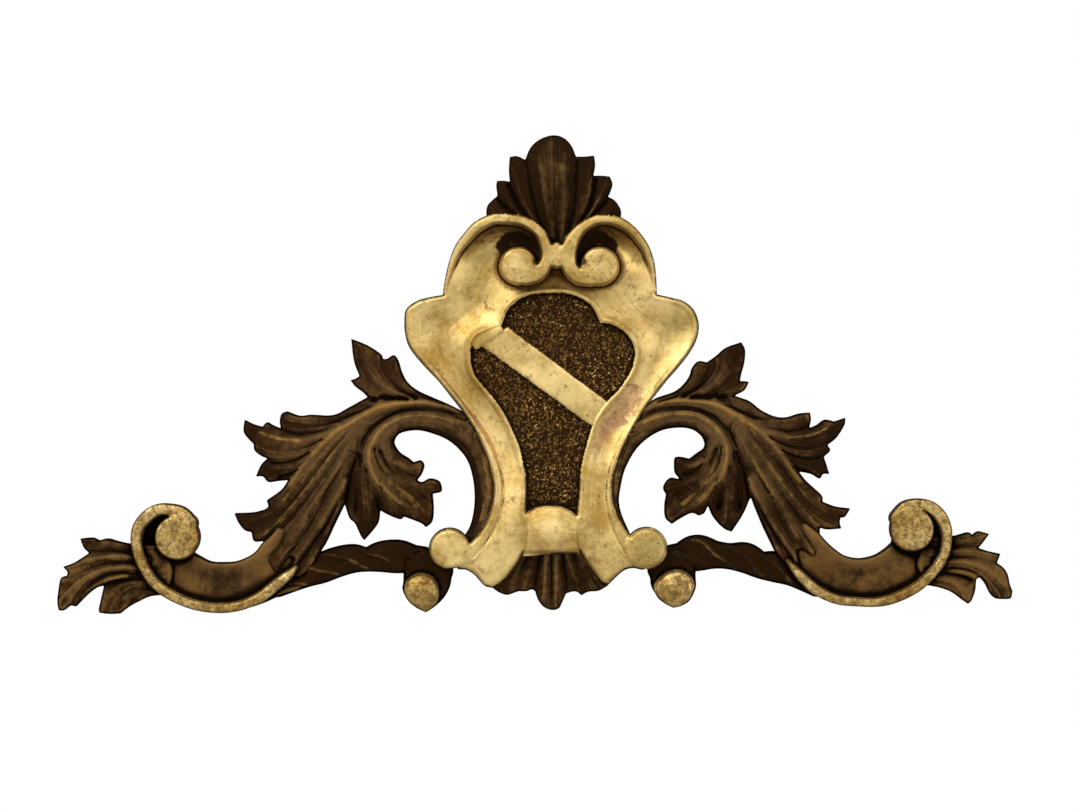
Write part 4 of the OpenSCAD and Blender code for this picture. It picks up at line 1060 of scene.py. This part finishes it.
rightWing = {
    "side": 1, "reach": 445,
    "leaf": [
        [(70, 84), (52, 100), (52, 150), (66, 186), (84, 216)],
        [(100, 226), (114, 235), (134, 242), (145, 251), (151, 260), (153, 267), (160, 275)],
        [(170, 274), (180, 281), (191, 290)], [(208, 296), (212, 287), (211, 273), (208, 262)],
        [(206, 253), (211, 253)], [(216, 252), (211, 243)],
        [(200, 237), (216, 231), (229, 221), (244, 214), (257, 213), (271, 217)], [(283, 218), (284, 210)],
        [(282, 201), (290, 204), (299, 210)], [(310, 208), (316, 210)],
        [(322, 212), (321, 204), (312, 190)], [(302, 182), (305, 176)], [(298, 169), (301, 160)],
        [(304, 150), (297, 150), (293, 145), (284, 150)], [(270, 153), (279, 142), (295, 127)],
        [(296, 120), (303, 117), (312, 114)], [(327, 112), (321, 103)], [(316, 102), (315, 96)],
        [(317, 90), (301, 89)], [(293, 91), (292, 74)], [(286, 58), (276, 66)], [(268, 66), (270, 54)],
        [(272, 44), (256, 48)], [(243, 66), (231, 91)], [(220, 118), (217, 124), (211, 111)],
        [(206, 102), (202, 96)], [(196, 87), (187, 91), (176, 103)], [(170, 116), (166, 108)],
        [(160, 105), (152, 108), (141, 103)], [(130, 96), (123, 103), (122, 116)],
        [(124, 129), (121, 134), (122, 140), (129, 147)],
        [(140, 145), (134, 152), (133, 160), (134, 169), (141, 170)],
        [(150, 168), (158, 174), (166, 180), (166, 188), (160, 196), (150, 201), (135, 202), (119, 199),
         (103, 190), (90, 177), (79, 157), (74, 138), (72, 122), (75, 107)], [(84, 86), (80, 78)]],
    "endLeaf": [
        [(410, 80), (439, 81), (448, 83), (457, 85)], [(461, 82), (468, 86)], [(480, 83), (470, 70)],
        [(467, 68), (479, 64)], [(492, 61), (490, 56)], [(488, 51), (495, 46), (500, 38), (502, 28)],
        [(505, 20), (503, 12)], [(495, 11), (486, 12), (480, 18), (475, 28), (469, 35)],
        [(465, 33), (464, 21), (460, 10)], [(456, 6), (449, 11), (438, 19), (425, 24)],
        [(411, 27), (400, 50)]],
    "body": [
        [(276, 98), (286, 90), (293, 84), (300, 76), (310, 67), (321, 60), (336, 57), (352, 60),
         (364, 67)],
        [(372, 74), (378, 100), (394, 113), (410, 114), (424, 106), (432, 92), (435, 76), (431, 61),
         (424, 48), (413, 34), (403, 26), (388, 17), (367, 8), (352, 6), (330, 6), (314, 8), (303, 12),
         (288, 18), (277, 25), (262, 36), (252, 50), (250, 70), (262, 92)]],
    "bodyLines": [
        (33, 30, [(278, 94), (292, 80), (308, 65), (334, 54), (362, 62), (372, 72)]),
        (28, 22, [(268, 80), (286, 62), (306, 48), (336, 42), (362, 46), (378, 53)]),
        (26, 20, [(268, 62), (284, 44), (306, 32), (334, 26), (362, 30), (385, 41), (399, 54)]),
        (27, 16, [(272, 46), (288, 32), (312, 19.5), (336, 16), (362, 18), (384, 26), (402, 37), (416, 52),
         (422, 70), (422, 86), (416, 98)]),
        (17, 14, [(398, 66), (408, 73), (415, 84), (416, 94), (411, 103)]),
        (24, 22, [(282, 26), (266, 40), (256, 54), (254, 68)])],
    "band": [
        (257, 55, 2, 38), (269, 41, 4.8, 40), (281, 29, 5.6, 41), (295, 19, 5.6, 41), (312, 12, 5.2, 41),
        (330, 9.8, 5, 41), (350, 9, 5, 41), (366, 11, 5.4, 41), (384, 17.5, 5.6, 41), (400, 26.5, 5.6, 41),
        (412, 37, 5.6, 41), (423, 50, 5.8, 41), (430, 64, 5.6, 41), (432, 77, 5.8, 41), (431, 90, 6.2, 42),
        (425, 103, 7, 42), (414, 113, 7, 43), (401, 116, 6.5, 43), (388, 111, 9, 44), (379, 101, 9.5, 45)],
    "eye": ((394, 89), 24, 46),
    "rail": [
        (288, 24, 9, 26), (264, 40, 14, 28), (244, 48, 17, 28), (228, 50, 15, 28), (212, 58, 17, 28),
        (194, 60, 14.5, 28), (177, 62, 15.5, 29), (158, 64, 20, 29), (142, 59, 17, 28), (128, 54, 18, 27),
        (118, 46, 15, 26)],
    "drum": [
        [(156, 58), (156, 38), (156, 26), (150, 13), (142, 7)],
        [(131, 4), (120, 10), (112, 19), (107, 28), (106, 42), (108, 54)], [(116, 66), (138, 70)]],
    "ball": [
        [(155, 28), (152, 37), (145, 43.5), (134, 46), (122, 42), (112, 33), (110, 24), (116, 13)],
        [(131, 4.5), (142, 8), (150, 16)]],
    "ballMiddle": (133, 26),
}


def wing(name, parts, place):
    side, size, both = parts["side"], drawn[name], bothWings
    stretch = parts["reach"] / leftWing["reach"]

    def turned(stations):
        return [(side * s[0], *s[1:]) for s in stations]

    def region(key):
        return outline([turned(run) for run in parts[key]])

    def strokes(lines):
        return [(first, last, turned(points)) for first, last, points in lines]

    def drawnIn(points):
        # the left wing's leaves, brought to this wing's reach
        return turned([(both["waist"] + (x - both["waist"]) * stretch, z) for x, z in points])

    def veins(lines):
        return [(first, last, drawnIn(points)) for first, last, points in lines]

    relief = Relief((size["x"][0] - 4, 0), (size["x"][1] + 4, size["z"][1] + 2), both["step"])
    cuts = both["cuts"]
    relief.carve(region("body"), strokes(parts["bodyLines"]), **cuts["body"])
    relief.join([relief.band(turned(parts["rail"]), **both["rope"])], **cuts["rail"])
    relief.carve(region("drum"), strokes(both["drumLine"]), **cuts["drum"])
    relief.carve(region("endLeaf"), veins(both["endLeaf"]), **cuts["endLeaf"])
    leafLines = [line for group in both["leaf"].values() for line in group]
    relief.carve(region("leaf"), veins(leafLines), **cuts["leaf"])
    for width, points in both["worn"]:
        relief.note("worn", drawnIn(points), width)

    (x, z), radius, top = parts["eye"]
    volute = [relief.band(turned(parts["band"]), scoop=0, bow=0.8),
              relief.disc((side * x, z), radius, top, dome=1.0)]
    relief.join(volute, **cuts["volute"])
    ball, form = relief.depthIn(region("ball")), both["ball"]
    x, z = parts["ballMiddle"]
    far = np.hypot(relief.x - side * x, relief.z - z)
    dome = form["top"] - form["dome"] * (far / form["radius"]) ** 2
    relief.lay(everywhere, ball, relief.rounded(ball, dome, 5, 3), gilt=1.0, tone=0.0)

    # the cartouche stands clear by a hair's breadth
    relief.cutBy(-relief.depthIn(outline(cartouche["lines"]["outer"])) - both["gap"])
    for key in ("leftButton", "rightButton"):
        (x, z), radius, _ = cartouche["discs"][key]
        relief.cutBy(np.hypot(relief.x - x, relief.z - z) - radius - both["gap"])
    return solid(name + "_carving", relief, place, carvedMarks(relief))


middle = Place("cartouche")
gold, dark = gilding(), darkCarving()
print("finishes done")
pieces = [
    (cartoucheGilding(middle), gold, "cartouche", "gilded_wood"),
    (groundOfSand(middle), sandedGround(), "cartouche", "gilded_wood"),
    (leafPiece("crown_leaf", crown, middle), dark, "cartouche", "dark_wood"),
    (leafPiece("foot_leaf", foot, middle), dark, "cartouche", "dark_wood"),
    (wing("left_wing", leftWing, Place("left_wing")), dark, "left_wing", "dark_wood"),
    (wing("right_wing", rightWing, Place("right_wing")), dark, "right_wing", "dark_wood"),
]
for piece, material, node, slot in pieces:
    piece.data.materials.append(material)
    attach(piece, "root")
    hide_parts(node)
print("carving done")


studio = {
    "viewWidth": 1.188, "viewMiddle": (-0.0143, 0.2277), "viewDepth": -0.03, "distance": 7.0,
    "tilt": 0.35, "sensor": 36,
    "lamps": [  # place, size, strength in watts
        ((-1.5, -2.2, 1.7), 1.3, 47), ((1.9, -2.0, 0.5), 1.4, 10), ((0.2, -1.6, 2.2), 1.0, 13)],
    "ambient": 0.38, "floorDrop": 0.5, "floor": {"x": (-3, 3), "y": (-3.6, 1.2)},
    "floorFinish": {"Base Color": (0.86, 0.86, 0.85, 1), "Roughness": 0.8},
}

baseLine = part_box("left_wing")[0].z
camera = stand("camera", bpy.data.cameras.new("camera"))
camera.data.sensor_width = studio["sensor"]
camera.data.lens = studio["sensor"] * studio["distance"] / studio["viewWidth"]
viewX, viewZ = studio["viewMiddle"]
camera.location = (viewX, studio["viewDepth"] - studio["distance"], baseLine + viewZ)
camera.rotation_euler = (math.radians(90), 0, 0)
camera.rotation_euler.rotate_axis("Z", -math.radians(studio["tilt"]))
bpy.context.scene.camera = camera

for number, (at, size, watts) in enumerate(studio["lamps"]):
    lamp = stand(f"softbox_{number}", bpy.data.lights.new(f"softbox_{number}", "AREA"))
    lamp.data.size = size
    lamp.data.energy = watts
    lamp.location = at
    lamp.rotation_euler = (-lamp.location).to_track_quat("-Z", "Y").to_euler()

# white where it is seen or mirrored, and a quieter light everywhere else
sky = Paint(bpy.data.worlds.new("studio"))
bpy.context.scene.world = sky.holder
seen = (sky.node("LightPath", take="Is Camera Ray") + sky.node("LightPath", take="Is Glossy Ray")
        + sky.node("LightPath", take="Is Transmission Ray")).within(0, 1)
strength = studio["ambient"] + seen * (1 - studio["ambient"])
sky.node("OutputWorld", None, {
    "Surface": sky.node("Background", None, {"Color": (1, 1, 1, 1), "Strength": strength})})

low = baseLine - studio["floorDrop"]
(west, east), (near, far) = studio["floor"]["x"], studio["floor"]["y"]
floorMesh = bpy.data.meshes.new("floor")
floorMesh.from_pydata([(west, near, low), (east, near, low), (east, far, low), (west, far, low)], [],
                      [(0, 1, 2, 3)])
floorMesh.materials.append(newPaint("pale_floor").finish(studio["floorFinish"]))
stand("floor", floorMesh)
print("studio done")

bpy.context.scene.view_settings.view_transform = "Standard"
